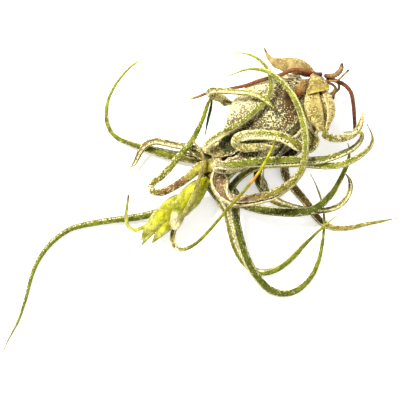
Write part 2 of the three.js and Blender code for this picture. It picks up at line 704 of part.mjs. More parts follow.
    route: [
      [194, 200, 8.6, 1.1], [184, 212, 6.8, 1], [176, 225, 6, 0.95], [172.6, 235, 6.3, 0.9],
      [173.2, 243, 7.5, 0.85], [177, 248.3, 9.5, 0.8], [183, 249.3, 12, 0.75], [190, 247, 14, 0.7],
      [199, 240.7, 16.3, 0.62], [208, 231.5, 18.8, 0.6], [217, 221.3, 21.5, 0.58],
      [226, 210.5, 24, 0.56], [236, 199.5, 26.3, 0.55], [247, 187, 28.4, 0.53], [257, 174.5, 30.3, 0.5],
      [263.5, 164, 31.9, 0.47], [268.5, 154.5, 33.2, 0.43], [272.5, 145.5, 34, 0.39],
      [275, 138.5, 34.2, 0.35], [276.3, 132.5, 34.2, 0.33],
    ],
  },
];

function grown(leaf) {
  const halfAngles = [50, 50, 60, 60];
  return {
    shoot: BULB,
    halfAngle: halfAngles[leaf.tier],
    lap: LAPS[leaf.tier],
    wall: leaf.tier === 3 ? 0.7 : WALL,
    leavingHalf: LEAVING_HALVES[leaf.tier],
    leaving: leaf.tier === 3 ? 6 : LEAVING,
    points: LEAF_POINTS,
    ...leaf,
    azimuth: degrees(leaf.azimuth),
  };
}

const plant = new THREE.Group();

function add(name, geometry, colour, roughness = 0.9) {
  const material = new THREE.MeshStandardMaterial({ color: colour, roughness, metalness: 0 });
  const mesh = new THREE.Mesh(geometry, material);
  mesh.name = name;
  plant.add(mesh);
}

const LEAF_COLOURS = [BULB_SILVER, SILVER_GREEN, SILVER_GREEN, OLIVE];
const RESTING_LEAF = "leaf_outer_3";
for (const leaf of BULB_LEAVES.map(grown)) {
  const whole = leafGeometry(leaf);
  add(leaf.name, leaf.name === RESTING_LEAF ? flattenedBelow(whole) : whole, LEAF_COLOURS[leaf.tier]);
}

// The stem runs along the bulb's axis and narrows into the flower stalk
const STEM_OUTLINE = [
  [0, -1.8],
  [1.3, -1.8],
  [2.4, -0.4],
  [STEM_RADIUS, 1.5],
  [STEM_RADIUS, 11],
  [1.9, 34],
  [STALK_RADIUS, 40],
  [STALK_RADIUS, 48.6],
  [0, 48.6],
];

function stemGeometry() {
  const outline = STEM_OUTLINE.map(([radius, along]) => new THREE.Vector2(radius, along));
  const geometry = new THREE.LatheGeometry(outline, 10);
  const laid = new THREE.Quaternion().setFromUnitVectors(new THREE.Vector3(0, 1, 0), BULB.axis);
  geometry.applyQuaternion(laid);
  geometry.translate(BULB.base.x, BULB.base.y, BULB.base.z);
  return fused([geometry]);
}

add("stem", stemGeometry(), STRAW);

// The flower spike: an inner spindle of buds with the bracts standing out of it. Each route point
// is on a bract's back, with half its width there.
const SPIKE_CORE = [
  [209.4, 179.1, 13.95, 1.4], [199, 189, 13.9, 1.4], [193, 195, 13.6, 2.1], [180, 208, 12.5, 2.4],
  [166, 221, 11.2, 1.8], [156, 230.5, 10.2, 1],
];
const SPIKE_BRACTS = [
  // On top, folded at its tip into a strand that lies back along it
  {
    rolls: [0, 0],
    arc: [95, 100],
    route: [
      [205, 177.5, 15, 0.9], [197.8, 185, 16.9, 2.2], [188.5, 195, 17.3, 2.8], [181, 206, 16.7, 2.9],
      [176, 215, 15.6, 2.3], [173.6, 222, 14.8, 1.3], [174.4, 227.4, 14.9, 0.85],
      [178, 225.5, 16.3, 0.8], [182.4, 217, 18, 0.8], [187.5, 208, 19.2, 0.8],
      [193, 197, 20.2, 0.75], [197.5, 184, 20.8, 0.65], [201.5, 170, 20.8, 0.5],
      [203.5, 158.5, 20.2, 0.45], [199.5, 149, 19.3, 0.42], [192.5, 140.5, 18.4, 0.36],
    ],
  },
  // Upper left side
  {
    rolls: [35, 25],
    arc: [100, 100],
    route: [
      [188, 194, 14.6, 1.4], [173, 200, 15, 3], [160.5, 211, 14.2, 3.3], [151, 222, 12.7, 2.5],
      [144.5, 232, 11.2, 1.3], [140.5, 240, 10.2, 0.4],
    ],
  },
  // Lower right side, at the base
  {
    rolls: [-20, -30],
    arc: [85, 100],
    route: [
      [208, 177.5, 14.7, 0.9], [205.4, 183.5, 15.9, 2], [201.3, 191, 15.8, 2.7], [195, 202, 14.8, 2.8],
      [187, 212, 13.4, 2], [180, 220, 12.3, 0.7],
    ],
  },
  // Lower right side, at the tip
  {
    rolls: [-25, -15],
    arc: [95, 95],
    route: [
      [189, 206, 13, 1.2], [178, 217, 13.8, 2.3], [168, 226.5, 12.8, 2.5], [159.5, 235, 11.2, 1.6],
      [152, 243, 9.8, 0.4],
    ],
  },
  // Inner bract at the tip
  {
    rolls: [0, -10],
    arc: [95, 95],
    route: [
      [172, 211, 12.8, 1.2], [160, 222, 12.3, 2.1], [150.5, 232.5, 11, 1.5], [142, 245, 9.2, 0.4],
    ],
  },
  // Low on the left, with a long hooked tip
  {
    rolls: [60, 10],
    arc: [95, 100],
    route: [
      [170, 212, 11.6, 1.3], [158, 215.5, 11.8, 1.9], [150, 221, 11.2, 1.2],
      [142, 226.5, 10.4, 0.85], [134, 229, 9.6, 0.75], [128.6, 225.5, 9, 0.7],
      [126.5, 217, 8.8, 0.65], [127.3, 206, 8.8, 0.5], [128.6, 195, 9, 0.4],
    ],
  },
  // Underneath
  {
    rolls: [180, 180],
    arc: [100, 95],
    route: [
      [192, 196, 11, 1.3], [177, 208, 9.8, 2.9], [163, 220, 8.9, 2.6], [150, 232, 8.4, 1.2],
      [144.5, 238.5, 8.2, 0.4],
    ],
  },
];

function spikeGeometry() {
  const bracts = SPIKE_BRACTS.map((bract) => stripGeometry({ wall: BLADE_WALL, ...bract }));
  return fused([tubeGeometry(SPIKE_CORE, 8, 6), ...bracts]);
}

add("flower_spike", spikeGeometry(), LIME);

// The offset: its own short stem, one sheath wrapped round it, and a leaf from inside that
const OFFSET_STEM = [
  [316.5, 81.5, 17.2, 1.3], [315.3, 80.6, 21, 1.3], [314.1, 81.2, 25.4, 1.2],
  [314.2, 84.4, 27.9, 1.1], [315.3, 88.8, 28.2, 1], [316.5, 95, 28.2, 1], [318.1, 104, 28.2, 0.8],
];
add("offset_stem", tubeGeometry(OFFSET_STEM, 8, 4), STRAW);

const OFFSET_SHEATH = {
  shoot: OFFSET,
  tier: 0,
  azimuth: degrees(160),
  leave: 14.6,
  halfAngle: 172,
  lap: 0,
  wall: 0.8,
  leavingHalf: 16,
  points: WRAP_POINTS,
};
add("offset_sheath", sheathGeometry(OFFSET_SHEATH), STRAW);

const OFFSET_LEAF = {
  shoot: OFFSET,
  tier: 1,
  azimuth: degrees(-40),
  leave: 15,
  halfAngle: 140,
  lap: 0,
  wall: 0.7,
  leavingHalf: 1.5,
  leaving: 5,
  points: LEAF_POINTS,
  facing: [[0.8, 180], [1, 180]],
  route: [
    [325.2, 134.5, 29.6, 1.3], [329.5, 138, 28.3, 1.35], [336.5, 138.8, 26.2, 1.35],
    [344.5, 137.7, 23.6, 1.3], [351.5, 135, 21.6, 1.2], [357, 130.2, 20.5, 1.05],
    [360.7, 122.5, 19.7, 0.85], [362.2, 112.5, 19, 0.4],
  ],
};
add("offset_leaf", leafGeometry(OFFSET_LEAF), OLIVE);

// Old dry leaves at the root end. Each route point also has half the width there.
const DRY_STRIPS = [
  {
    name: "dry_leaf",
    colour: STRAW,
    rolls: [20, 40],
    arc: [60, 80],
    route: [
      [315, 75, 17.6, 1.4], [308, 70, 19.5, 2.6], [299, 65, 20.4, 3.2], [287, 62, 20.4, 3.2],
      [277, 60.5, 19.4, 2.3], [270.5, 57.5, 18.2, 1.2], [266.8, 52.5, 17.2, 0.6],
      [264.6, 47.5, 16.4, 0.4],
    ],
  },
  {
    name: "dry_sheath",
    colour: DRY_BROWN,
    rolls: [-10, 0],
    arc: [60, 50],
    route: [[310, 81.5, 20, 1.2], [305, 84, 22.4, 1.8], [300, 89.5, 24.6, 1.8], [296, 96, 25.8, 1]],
  },
  {
    name: "dry_hood",
    colour: STRAW,
    rolls: [0, 0],
    arc: [70, 58],
    route: [
      [311.5, 74.5, 28, 1.2], [313.3, 78.3, 30.6, 2.6], [315.2, 83, 32.5, 3.7],
      [316.6, 88, 33.4, 4.15], [317.6, 92.5, 33.6, 3.95],
    ],
  },
];
for (const strip of DRY_STRIPS) {
  add(strip.name, stripGeometry({ wall: 0.7, ...strip }), strip.colour);
}

// Roots: two long wiry ones and four short stubs, each with its radius at every point
const ROOTS = [
  {
    name: "root_left",
    route: [
      [320.6, 74, 15.8, 0.7], [319.8, 74.4, 18.6, 0.7], [312.5, 74, 21.8, 0.7], [304, 71.4, 23, 0.65],
      [294.6, 70, 23.6, 0.65], [285.3, 73.2, 24, 0.65], [276, 76.5, 24.4, 0.65],
      [265, 79.5, 24.2, 0.65], [255, 82.5, 22.6, 0.65], [245, 85.8, 19.6, 0.65], [234, 88, 16, 0.6],
      [222, 90.4, 13.6, 0.6], [209, 92.6, 12.5, 0.55], [197, 97, 11.6, 0.5], [189.5, 99, 11, 0.35],
    ],
  },
  {
    name: "root_right",
    route: [
      [327, 78, 13.6, 0.75], [336, 81, 14.8, 0.75], [344.3, 84.9, 15, 0.75],
      [350.7, 91.9, 13.4, 0.75], [353.2, 101.5, 11, 0.7], [354.5, 114.2, 8, 0.7], [355.4, 129, 5, 0.6],
    ],
  },
];
for (const root of ROOTS) {
  add(root.name, tubeGeometry(root.route, 6, 5), ROOT_BROWN);
}

const STUBS = [
  [
    [325.6, 75.8, 15.8, 0.8], [329.5, 76, 17.8, 0.85], [334, 75.6, 19, 0.95], [339, 72, 20, 1],
    [341, 68, 20.4, 0.85], [341.4, 63.5, 20.6, 0.5],
  ],
  [
    [324.2, 80.7, 16, 0.4], [330, 81, 18, 0.4], [337, 80.5, 18.6, 0.4], [343, 75.5, 19.6, 0.4],
    [348.5, 70, 20.2, 0.45],
  ],
  [
    [326.5, 82.5, 12.6, 0.5], [332.5, 84.5, 12.2, 0.5], [335.6, 88, 12, 0.5], [333, 92, 11.4, 0.5],
    [327.5, 97, 10.6, 0.45],
  ],
  [
    [329, 79, 11.2, 0.5], [338, 82.5, 9.2, 0.5], [339.2, 88, 8.8, 0.5], [334.7, 93, 8.4, 0.5],
    [333, 99, 8, 0.5],
  ],
];
STUBS.forEach((route, i) => add(`root_stub_${i + 1}`, tubeGeometry(route, 6, 4), ROOT_BROWN));

export default plant;
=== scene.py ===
"""Looks of a small air plant, Tillandsia pruinosa, lying on its side.

The plant is a bulb of fleshy leaf sheaths that run out into long, rolled, channelled blades, with a
flower spike, a young offset, old dry leaves and wiry roots. Each leaf is swept along the route of its
CAD node with a finer section, and gets its trichomes, the silvery scales of the species, as small
mesh flakes.

Lengths in this script are millimetres, made metres where a mesh or an object is made. Routes are
points plotted on squares as seen from above: squares to the right, squares down, height in mm, and
the radius or half width of the piece there in mm.
"""
import collections
import itertools
import math

import bpy
import numpy as np
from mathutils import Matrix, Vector


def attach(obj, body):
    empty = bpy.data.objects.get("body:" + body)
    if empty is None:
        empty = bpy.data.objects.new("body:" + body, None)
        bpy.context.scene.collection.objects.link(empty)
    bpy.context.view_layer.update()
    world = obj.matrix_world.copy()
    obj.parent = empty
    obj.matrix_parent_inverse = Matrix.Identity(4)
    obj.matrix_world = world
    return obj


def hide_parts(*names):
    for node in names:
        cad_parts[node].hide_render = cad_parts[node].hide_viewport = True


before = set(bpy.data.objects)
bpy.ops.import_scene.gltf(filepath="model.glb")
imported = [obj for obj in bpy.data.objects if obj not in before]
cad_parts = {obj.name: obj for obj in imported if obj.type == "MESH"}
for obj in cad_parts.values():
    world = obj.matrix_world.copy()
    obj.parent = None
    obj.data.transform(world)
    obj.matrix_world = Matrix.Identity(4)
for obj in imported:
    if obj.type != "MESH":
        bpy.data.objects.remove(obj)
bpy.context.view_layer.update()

MM = 0.001

# Driving dimensions, as in the CAD part
SQUARE = 132 / 396
MIDDLE_RIGHT = 201
MIDDLE_DOWN = 199
BULB_HEIGHT = 13.95
BELLY_AT = 18
NECK_RUN = 30
BLADE_WALL = 0.8
NARROWING = 12

# The usual values of a leaf, by tier: its sheath's wall and half angle in degrees, how far one of its
# sides rises to lap the next leaf, its half width where it leaves the shoot, and the length over which
# it turns from a sheath into a rolled blade
WALLS = [0.9, 0.9, 0.9, 0.7]
HALF_ANGLES = [50, 50, 60, 60]
LAPS = [1.55, 1.55, 1.35, 0]
LEAVING_HALVES = [4.2, 3.6, 3, 2.6]
LEAVINGS = [11, 11, 11, 6]

# Finer than in the CAD part
SECTION_POINTS = 21
BLADE_HALF_ARC = math.radians(160)
BEND_PER_RING = math.radians(7)
LEAF_RING_EVERY = 0.75
STRIP_RING_EVERY = 0.6
TUBE_RING_EVERY = 0.5
SHEATH_RING_EVERY = 0.9
LEAF_SAMPLES = 16
ROUTE_SAMPLES = 12
BLADE_TIP = 0.16
TIP_FROM = 0.9

THICKEST_WALL = 0.72  # of its section's radius
SHEATH_LEAD = (3, 1.5, 0)  # points of the sheath's middle that a blade's route goes on from
TURNING = 6  # length over which a blade's sections turn from the shoot's way to its route's
LOWEST = 0.02  # no skin goes below this height
TUBE_ROUGHNESS = 0.06
SPINDLE_SIDES = 16
ROOT_SIDES = 10

UP = np.array([0.0, 0.0, 1.0])


# Small helpers

def spot(right, down, height):
    return np.array([(right - MIDDLE_RIGHT) * SQUARE, (MIDDLE_DOWN - down) * SQUARE, height], float)


def smooth(x):
    c = np.clip(x, 0, 1)
    return c * c * (3 - 2 * c)


def mix(a, b, share):
    return a + (b - a) * share


def unit(v):
    return v / np.linalg.norm(v)


def units(rows):
    return rows / np.linalg.norm(rows, axis=1)[:, None]


def above(points, height):
    """The points, with those that are lower raised to this height."""
    return np.maximum(points, [-np.inf, -np.inf, height])


def turned(v, axis, angle):
    return (
        v * math.cos(angle)
        + np.cross(axis, v) * math.sin(angle)
        + axis * (axis @ v) * (1 - math.cos(angle))
    )


def keyed(keys, at):
    """Values between keys, a dict of values by place, smoothly mixed at each place in `at`."""
    places = list(keys)
    values = np.array(list(keys.values()), float)
    at = np.clip(np.asarray(at, float), places[0], places[-1])
    index = np.clip(np.searchsorted(places, at, side="right") - 1, 0, len(places) - 2)
    low = np.array(places)[index]
    high = np.array(places)[index + 1]
    share = smooth((at - low) / (high - low))
    if values.ndim == 2:
        share = share[..., None]
    return values[index] * (1 - share) + values[index + 1] * share


# Curves, the same as the CAD part's

def curve_point(points, at):
    """Point of a centripetal Catmull-Rom curve through `points`, `at` counted in its segments."""
    last = len(points) - 1
    k = min(last - 1, int(math.floor(at)))
    weight = at - k
    p1, p2 = points[k], points[k + 1]
    p0 = points[k - 1] if k > 0 else 2 * points[0] - points[1]
    p3 = points[k + 2] if k + 2 <= last else 2 * points[last] - points[last - 1]
    d0, d1, d2 = (math.sqrt(np.linalg.norm(b - a)) for a, b in ((p0, p1), (p1, p2), (p2, p3)))
    t1 = ((p1 - p0) / d0 - (p2 - p0) / (d0 + d1) + (p2 - p1) / d1) * d1
    t2 = ((p2 - p1) / d1 - (p3 - p1) / (d1 + d2) + (p3 - p2) / d2) * d1
    return (
        p1
        + t1 * weight
        + (3 * (p2 - p1) - 2 * t1 - t2) * weight**2
        + (2 * (p1 - p2) + t1 + t2) * weight**3
    )


def walk(points, start, per_segment):
    """Points, tangents and distance gone along a curve, from its segment `start` to its end."""
    end = len(points) - 1
    count = round((end - start) * per_segment)
    line = np.array([curve_point(points, start + (end - start) * i / count) for i in range(count + 1)])
    gone = np.concatenate([[0], np.cumsum(np.linalg.norm(np.diff(line, axis=0), axis=1))])
    tangents = np.concatenate([line[1:2] - line[:1], line[2:] - line[:-2], line[-1:] - line[-2:-1]])
    return line, units(tangents), gone


def thin(tangents, gone, length_per_ring):
    """Indexes where a ring is due: after enough bend, or enough length."""
    kept = [0]
    due = 0
    for i in range(1, len(gone) - 1):
        bend = math.acos(min(1, float(tangents[i] @ tangents[i - 1])))
        due += bend / BEND_PER_RING + (gone[i] - gone[i - 1]) / length_per_ring
        if due >= 1:
            kept.append(i)
            due = 0
    kept.append(len(gone) - 1)
    return kept


def rolled(tangent, roll):
    """Direction across a way: 0 is straight up, 180 degrees straight down, positive to its right."""
    level = unit(UP - tangent * (UP @ tangent))
    return level * math.cos(roll) + np.cross(tangent, level) * math.sin(roll)


def carry_back(ways, first_back, facing):
    """Carries a back along the ways without twist, then twists it to the rolls in `facing`."""
    backs = [first_back]
    for before, way in zip(ways[:-1], ways[1:]):
        axis = np.cross(before, way)
        bend = math.atan2(np.linalg.norm(axis), before @ way)
        backs.append(turned(backs[-1], unit(axis), bend) if bend > 1e-7 else backs[-1])
    marks = {0: 0}
    last = len(ways) - 1
    twist = 0
    for share, roll in facing.items():
        i = round(share * last)
        held = math.atan2(backs[i] @ rolled(ways[i], math.pi / 2), backs[i] @ rolled(ways[i], 0))
        lacking = math.radians(roll) - held - twist
        twist += math.atan2(math.sin(lacking), math.cos(lacking))
        marks[share] = twist
    marks.setdefault(1, twist)
    twists = keyed(marks, np.arange(last + 1) / last)
    return [turned(back, way, twist) for back, way, twist in zip(backs, ways, twists)]


# Shoots, the same as the CAD part's

class Shoot:
    def __init__(self, base, toward, belly_at, neck_run, tiers):
        self.base = base
        self.axis = unit(toward - base)
        self.side = unit(np.cross(self.axis, UP))
        self.up = unit(np.cross(self.side, self.axis))
        self.belly_at = belly_at
        self.neck_run = neck_run
        self.tiers = tiers

    def radius(self, tier, along):
        start, _, belly, neck, _ = self.tiers[tier]
        if along < self.belly_at:
            return belly * math.sin(math.pi / 2 * max(0, (along - start) / (self.belly_at - start)))
        share = min(1, (along - self.belly_at) / self.neck_run)
        return neck + (belly - neck) * (1 + math.cos(math.pi * share)) / 2

    def outward(self, azimuth):
        return self.up * math.cos(azimuth) + self.side * math.sin(azimuth)

    def point(self, tier, azimuth, along, lift):
        step = 0.05
        slope = (self.radius(tier, along + step) - self.radius(tier, along - step)) / (2 * step)
        out = self.outward(azimuth)
        normal = unit(out - self.axis * slope)
        return self.base + self.axis * along + out * self.radius(tier, along) + normal * lift


# Each tier: start, where it begins to hug the stem, belly, neck, angle between its leaves
BULB = Shoot(spot(318, 80, BULB_HEIGHT), spot(216, 173, BULB_HEIGHT), BELLY_AT, NECK_RUN, [
    (0, 4.1, 14.2, 10.9, 72),
    (3.4, 7.9, 10.7, 7.4, 72),
    (6.8, 12.2, 7.2, 3.9, 90),
    (6.8, 46.6, 2.7, 2.7, 180),
])
OFFSET = Shoot(spot(315, 86, 28.2), spot(323.5, 136, 28.2), 8, 9, [
    (-3, 0.4, 5.3, 2.7, 360),
    (-1, 3.2, 3.7, 1.55, 360),
])


# Sections: a closed loop of points round a curved strip with rounded rims. The first
# SECTION_POINTS are the outer face from rim to rim, and the rest the inner face back.

def section_shares():
    """Where the outer face's points are, from -1 to 1, closer together towards the rims."""
    even = np.linspace(-1, 1, SECTION_POINTS)
    return even * (1.3 - 0.3 * even**2)


def strip_section(half_angle, radius, wall, place, lap_per_radian=0.0):
    """place(turns, reaches) gives points for arrays of angles and radii."""
    shares = section_shares()
    turns = shares * half_angle
    half_wall = wall / 2
    rim_from = max(0.5, 1 - half_wall / (half_angle * radius))
    over = np.clip((np.abs(shares) - rim_from) / (1 - rim_from), 0, 1)
    thick = half_wall * np.sqrt(1 - over**2)
    middle = radius - half_wall + lap_per_radian * turns
    outer = place(turns, middle + thick)
    inner = place(turns[1:-1], (middle - thick)[1:-1])[::-1]
    return np.concatenate([outer, inner])


def around(centre, back, across, turns, reaches):
    """Points round a centre, turned from `back` towards `across`, each at its own reach."""
    return centre + np.outer(np.cos(turns) * reaches, back) + np.outer(np.sin(turns) * reaches, across)


def sheath_section(shoot, tier, azimuth, station, half_angle, wall, lap_per_radian=0.0, drawn_in=1.0):
    """A section on the shoot's own surface, or on a radius that is drawn in to this share of it."""
    radius = shoot.radius(tier, station)

    def place(turns, reaches):
        return np.array([
            shoot.point(tier, azimuth + turn, station, reach - radius)
            for turn, reach in zip(turns, reaches)
        ])

    return strip_section(half_angle, radius * drawn_in, wall, place, lap_per_radian)


def blade_section(point, way, back, radius, half, wall, sink=0.0, lap_per_radian=0.0):
    across = np.cross(way, back)
    centre = point + back * (sink - radius)

    def place(turns, reaches):
        return around(centre, back, across, turns, reaches)

    return strip_section(half / radius, radius, min(wall, radius * THICKEST_WALL), place, lap_per_radian)


class Skin:
    """Rings of section loops that make one closed strip. skin_object sets scurf, how dense the scales
    are at each point of the outer face."""

    def __init__(self, rings, along):
        self.rings = np.array(rings)
        self.along = np.array(along, float)
        self.scurf = None

    @property
    def outer(self):
        return self.rings[:, :SECTION_POINTS]

    @property
    def places(self):
        """Places along the skin: -1 to 0 on a leaf's sheath, and 0 to 1 on a blade or strip."""
        along = self.along
        return np.where(along < 0, along / max(1e-6, -along[0]), along / along[-1])


def route_sizes(route, places):
    """The size between the fourth numbers of a route's points."""
    return keyed({k: p[3] for k, p in enumerate(route)}, places)


def leaf_skin(
    tier, azimuth, leave, facing, route, shoot, half_angle, wall, lap, leaving, leaving_half, begins=None,
):
    """The rings of a whole leaf: its sheath on the shoot, then its blade."""
    lap /= math.radians(shoot.tiers[tier][4])
    if begins is None:
        begins = shoot.tiers[tier][1]
    widest = math.radians(half_angle)
    stations = np.linspace(begins, leave, max(3, round((leave - begins) / SHEATH_RING_EVERY)))
    rings = []
    for station in stations:
        narrowed = smooth((station - leave + NARROWING) / NARROWING)
        half = mix(widest, min(widest, leaving_half / shoot.radius(tier, station)), narrowed)
        rings.append(sheath_section(shoot, tier, azimuth, station, half, wall, lap))
    along = list(stations - leave)

    lead = [shoot.point(tier, azimuth, leave - back, 0) for back in SHEATH_LEAD]
    points = lead + [spot(*p[:3]) for p in route]
    line, tangents, gone = walk(points, len(lead) - 1, LEAF_SAMPLES)
    part = smooth(gone / TURNING)[:, None]
    ways = units(shoot.axis * (1 - part) + tangents * part)
    backs = carry_back(ways, shoot.outward(azimuth), facing)
    sizes = route_sizes(route, np.arange(len(line)) / LEAF_SAMPLES - 1)
    for i in thin(tangents, gone, LEAF_RING_EVERY)[1:]:
        left = float(smooth(gone[i] / leaving))
        at_tip = float(smooth((gone[i] / gone[-1] - TIP_FROM) / (1 - TIP_FROM)))
        narrow = mix(sizes[i], min(sizes[i], BLADE_TIP), at_tip)
        rings.append(blade_section(
            line[i], ways[i], backs[i],
            radius=1 / mix(1 / shoot.radius(tier, leave), 1 / narrow, left),
            half=mix(leaving_half, narrow * BLADE_HALF_ARC, left),
            wall=mix(wall, BLADE_WALL, left),
            sink=left * narrow,
            lap_per_radian=(1 - left) * lap,
        ))
        along.append(gone[i])
    return Skin(above(rings, LOWEST), along)


def walk_route(route):
    line, tangents, gone = walk([spot(*p[:3]) for p in route], 0, ROUTE_SAMPLES)
    sizes = route_sizes(route, np.linspace(0, len(route) - 1, len(line)))
    return line, tangents, gone, sizes


def strip_skin(route, rolls, arc, wall):
    """A free strip with no sheath, such as a bract. Its roll and its half angle change from the first
    to the second of their two values along it, in degrees."""
    line, tangents, gone, sizes = walk_route(route)
    kept = thin(tangents, gone, STRIP_RING_EVERY)
    rings = []
    for i in kept:
        share = float(smooth(gone[i] / gone[-1]))
        half_angle = math.radians(mix(*arc, share))
        radius = sizes[i] / math.sin(min(math.pi / 2, half_angle))
        back = rolled(tangents[i], math.radians(mix(*rolls, share)))
        rings.append(blade_section(line[i], tangents[i], back, radius, half_angle * radius, wall))
    return Skin(rings, gone[kept])


# Meshes

def make_object(name, points, face_groups, material, values=None, colours=None):
    """points in mm; face_groups is a list of arrays of point indexes, one row a face; values and
    colours hold one number or one colour a point, by name."""
    mesh = bpy.data.meshes.new(name)
    faces = [face for group in face_groups for face in np.asarray(group).tolist()]
    mesh.from_pydata(np.asarray(points, np.float32) * MM, [], faces, shade_flat=False)
    for key, numbers in (values or {}).items():
        layer = mesh.attributes.new(key, "FLOAT", "POINT")
        layer.data.foreach_set("value", np.asarray(numbers, np.float32))
    for key, rows in (colours or {}).items():
        layer = mesh.attributes.new(key, "FLOAT_COLOR", "POINT")
        rgba = np.pad(np.asarray(rows, np.float32), ((0, 0), (0, 1)), constant_values=1)
        layer.data.foreach_set("color", rgba.ravel())
    mesh.materials.append(material)
    mesh.validate()
    piece = bpy.data.objects.new(name, mesh)
    bpy.context.scene.collection.objects.link(piece)
    return piece


def ring_quads(ring_count, loop_count):
    """Quads between rings of closed loops."""
    ring = np.arange(ring_count - 1)[:, None] * loop_count
    i = np.arange(loop_count)[None, :]
    a = ring + i
    b = ring + (i + 1) % loop_count
    return np.stack([a, b, b + loop_count, a + loop_count], axis=-1).reshape(-1, 4)


def strip_caps(ring_count):
    """Faces across both ends of a strip: a triangle at each rim, and quads between them."""
    count = SECTION_POINTS
    loop = 2 * count - 2
    i = np.arange(1, count - 2)
    quads = np.stack([i, loop - i, loop - i - 1, i + 1], axis=-1)
    triangles = np.array([[0, loop - 1, 1], [count - 2, count, count - 1]])
    last = (ring_count - 1) * loop
    return [
        np.concatenate([quads, quads[:, ::-1] + last]),
        np.concatenate([triangles, triangles[:, ::-1] + last]),
    ]


def tube_caps(ring_count, sides):
    fan = np.array([[0, i + 2, i + 1] for i in range(sides - 2)])
    return np.concatenate([fan, fan[:, ::-1] + (ring_count - 1) * sides])


# Materials

def srgb(red, green, blue):
    """A colour of 0 to 255 values, as the linear numbers that the shaders take."""
    def linear(c):
        c /= 255
        return c / 12.92 if c <= 0.04045 else ((c + 0.055) / 1.055) ** 2.4

    return (linear(red), linear(green), linear(blue))


CREAM = srgb(240, 230, 178)
BULB_CREAM = srgb(150, 130, 90)
BULB_GREY = srgb(104, 98, 62)
BULB_BROWN = srgb(112, 78, 52)
PURPLE_BROWN = srgb(124, 90, 58)
BROWN_OLIVE = srgb(116, 98, 44)
OLIVE = srgb(122, 114, 38)
GREEN = srgb(116, 124, 28)
DARK_GREEN = srgb(94, 102, 24)
# painted shade: the dark green where the bulb's neck lies in shadow
PAINTED_SHADE_GREEN = srgb(70, 74, 36)
FRESH_GREEN = srgb(142, 148, 44)
LIME = srgb(182, 180, 28)
PALE_LIME = srgb(196, 192, 92)
ORANGE = srgb(232, 164, 62)
TIP_BROWN = srgb(122, 82, 40)
STRAW = srgb(176, 154, 100)
PUP_CREAM = srgb(164, 148, 84)
DRY_BROWN = srgb(150, 92, 38)
RUST = srgb(158, 128, 78)
HOOD_OLIVE = srgb(160, 142, 78)
HOOD_YELLOW = srgb(196, 176, 90)
FOLD_CREAM = srgb(226, 218, 170)
TAN_GREEN = srgb(150, 138, 64)
PINK_GREY = srgb(160, 136, 108)
PINK_BROWN = srgb(160, 126, 96)
YELLOW_OLIVE = srgb(168, 156, 64)
SAGE = srgb(158, 152, 84)
BLUE_GREEN = srgb(62, 90, 58)
DEEP_BROWN = srgb(78, 60, 28)
OLIVE_LIME = srgb(142, 142, 28)
ROOT_BROWN = srgb(136, 80, 42)
ROOT_DARK = srgb(62, 26, 14)
CHANNEL_BROWN = srgb(70, 58, 26)


class Shader:
    """A material whose node tree is built by calls."""

    def __init__(self, name, **uniform):
        self.material = bpy.data.materials.new(name)
        self.material.use_nodes = True
        self.tree = self.material.node_tree
        self.surface = self.tree.nodes["Principled BSDF"]
        for socket, value in uniform.items():
            self.surface.inputs[socket.replace("_", " ")].default_value = value

    def feed(self, socket, value):
        if isinstance(value, bpy.types.NodeSocket):
            self.tree.links.new(value, socket)
        elif isinstance(value, tuple):
            socket.default_value = (*value, 1) if len(socket.default_value) == 4 else value
        else:
            socket.default_value = value

    def add(self, kind, inputs, **settings):
        made = self.tree.nodes.new("ShaderNode" + kind)
        for key, value in settings.items():
            setattr(made, key, value)
        for key, value in inputs.items():
            self.feed(made.inputs[key], value)
        return made

    def attribute(self, name, output="Fac"):
        return self.add("Attribute", {}, attribute_name=name).outputs[output]

    def place(self):
        return self.add("TexCoord", {}).outputs["Object"]

    def noise(self, scale, detail=3, roughness=0.6):
        inputs = {"Vector": self.place(), "Scale": scale, "Detail": detail, "Roughness": roughness}
        return self.add("TexNoise", inputs).outputs["Fac"]

    def plus(self, a, b):
        return self.add("Math", {0: a, 1: b}, operation="ADD").outputs[0]

    def minus(self, a, b):
        return self.add("Math", {0: a, 1: b}, operation="SUBTRACT").outputs[0]

    def times(self, a, b):
        return self.add("Math", {0: a, 1: b}, operation="MULTIPLY").outputs[0]

    def ranged(self, value, low, high, to_low=0.0, to_high=1.0):
        inputs = {"Value": value, "From Min": low, "From Max": high, "To Min": to_low, "To Max": to_high}
        return self.add("MapRange", inputs, interpolation_type="SMOOTHSTEP").outputs[0]

    def mixed(self, share, a, b, blend="MIX"):
        made = self.add("Mix", {0: share, 6: a, 7: b}, data_type="RGBA", blend_type=blend)
        return made.outputs[2]

    def darkened(self, colour, by):
        return self.mixed(1.0, colour, by, "MULTIPLY")

    def bump(self, height, depth_mm):
        inputs = {"Height": height, "Distance": depth_mm * MM, "Strength": 1.0}
        self.tree.links.new(self.add("Bump", inputs).outputs[0], self.surface.inputs["Normal"])

    def colour(self, value):
        self.feed(self.surface.inputs["Base Color"], value)
        return self.material


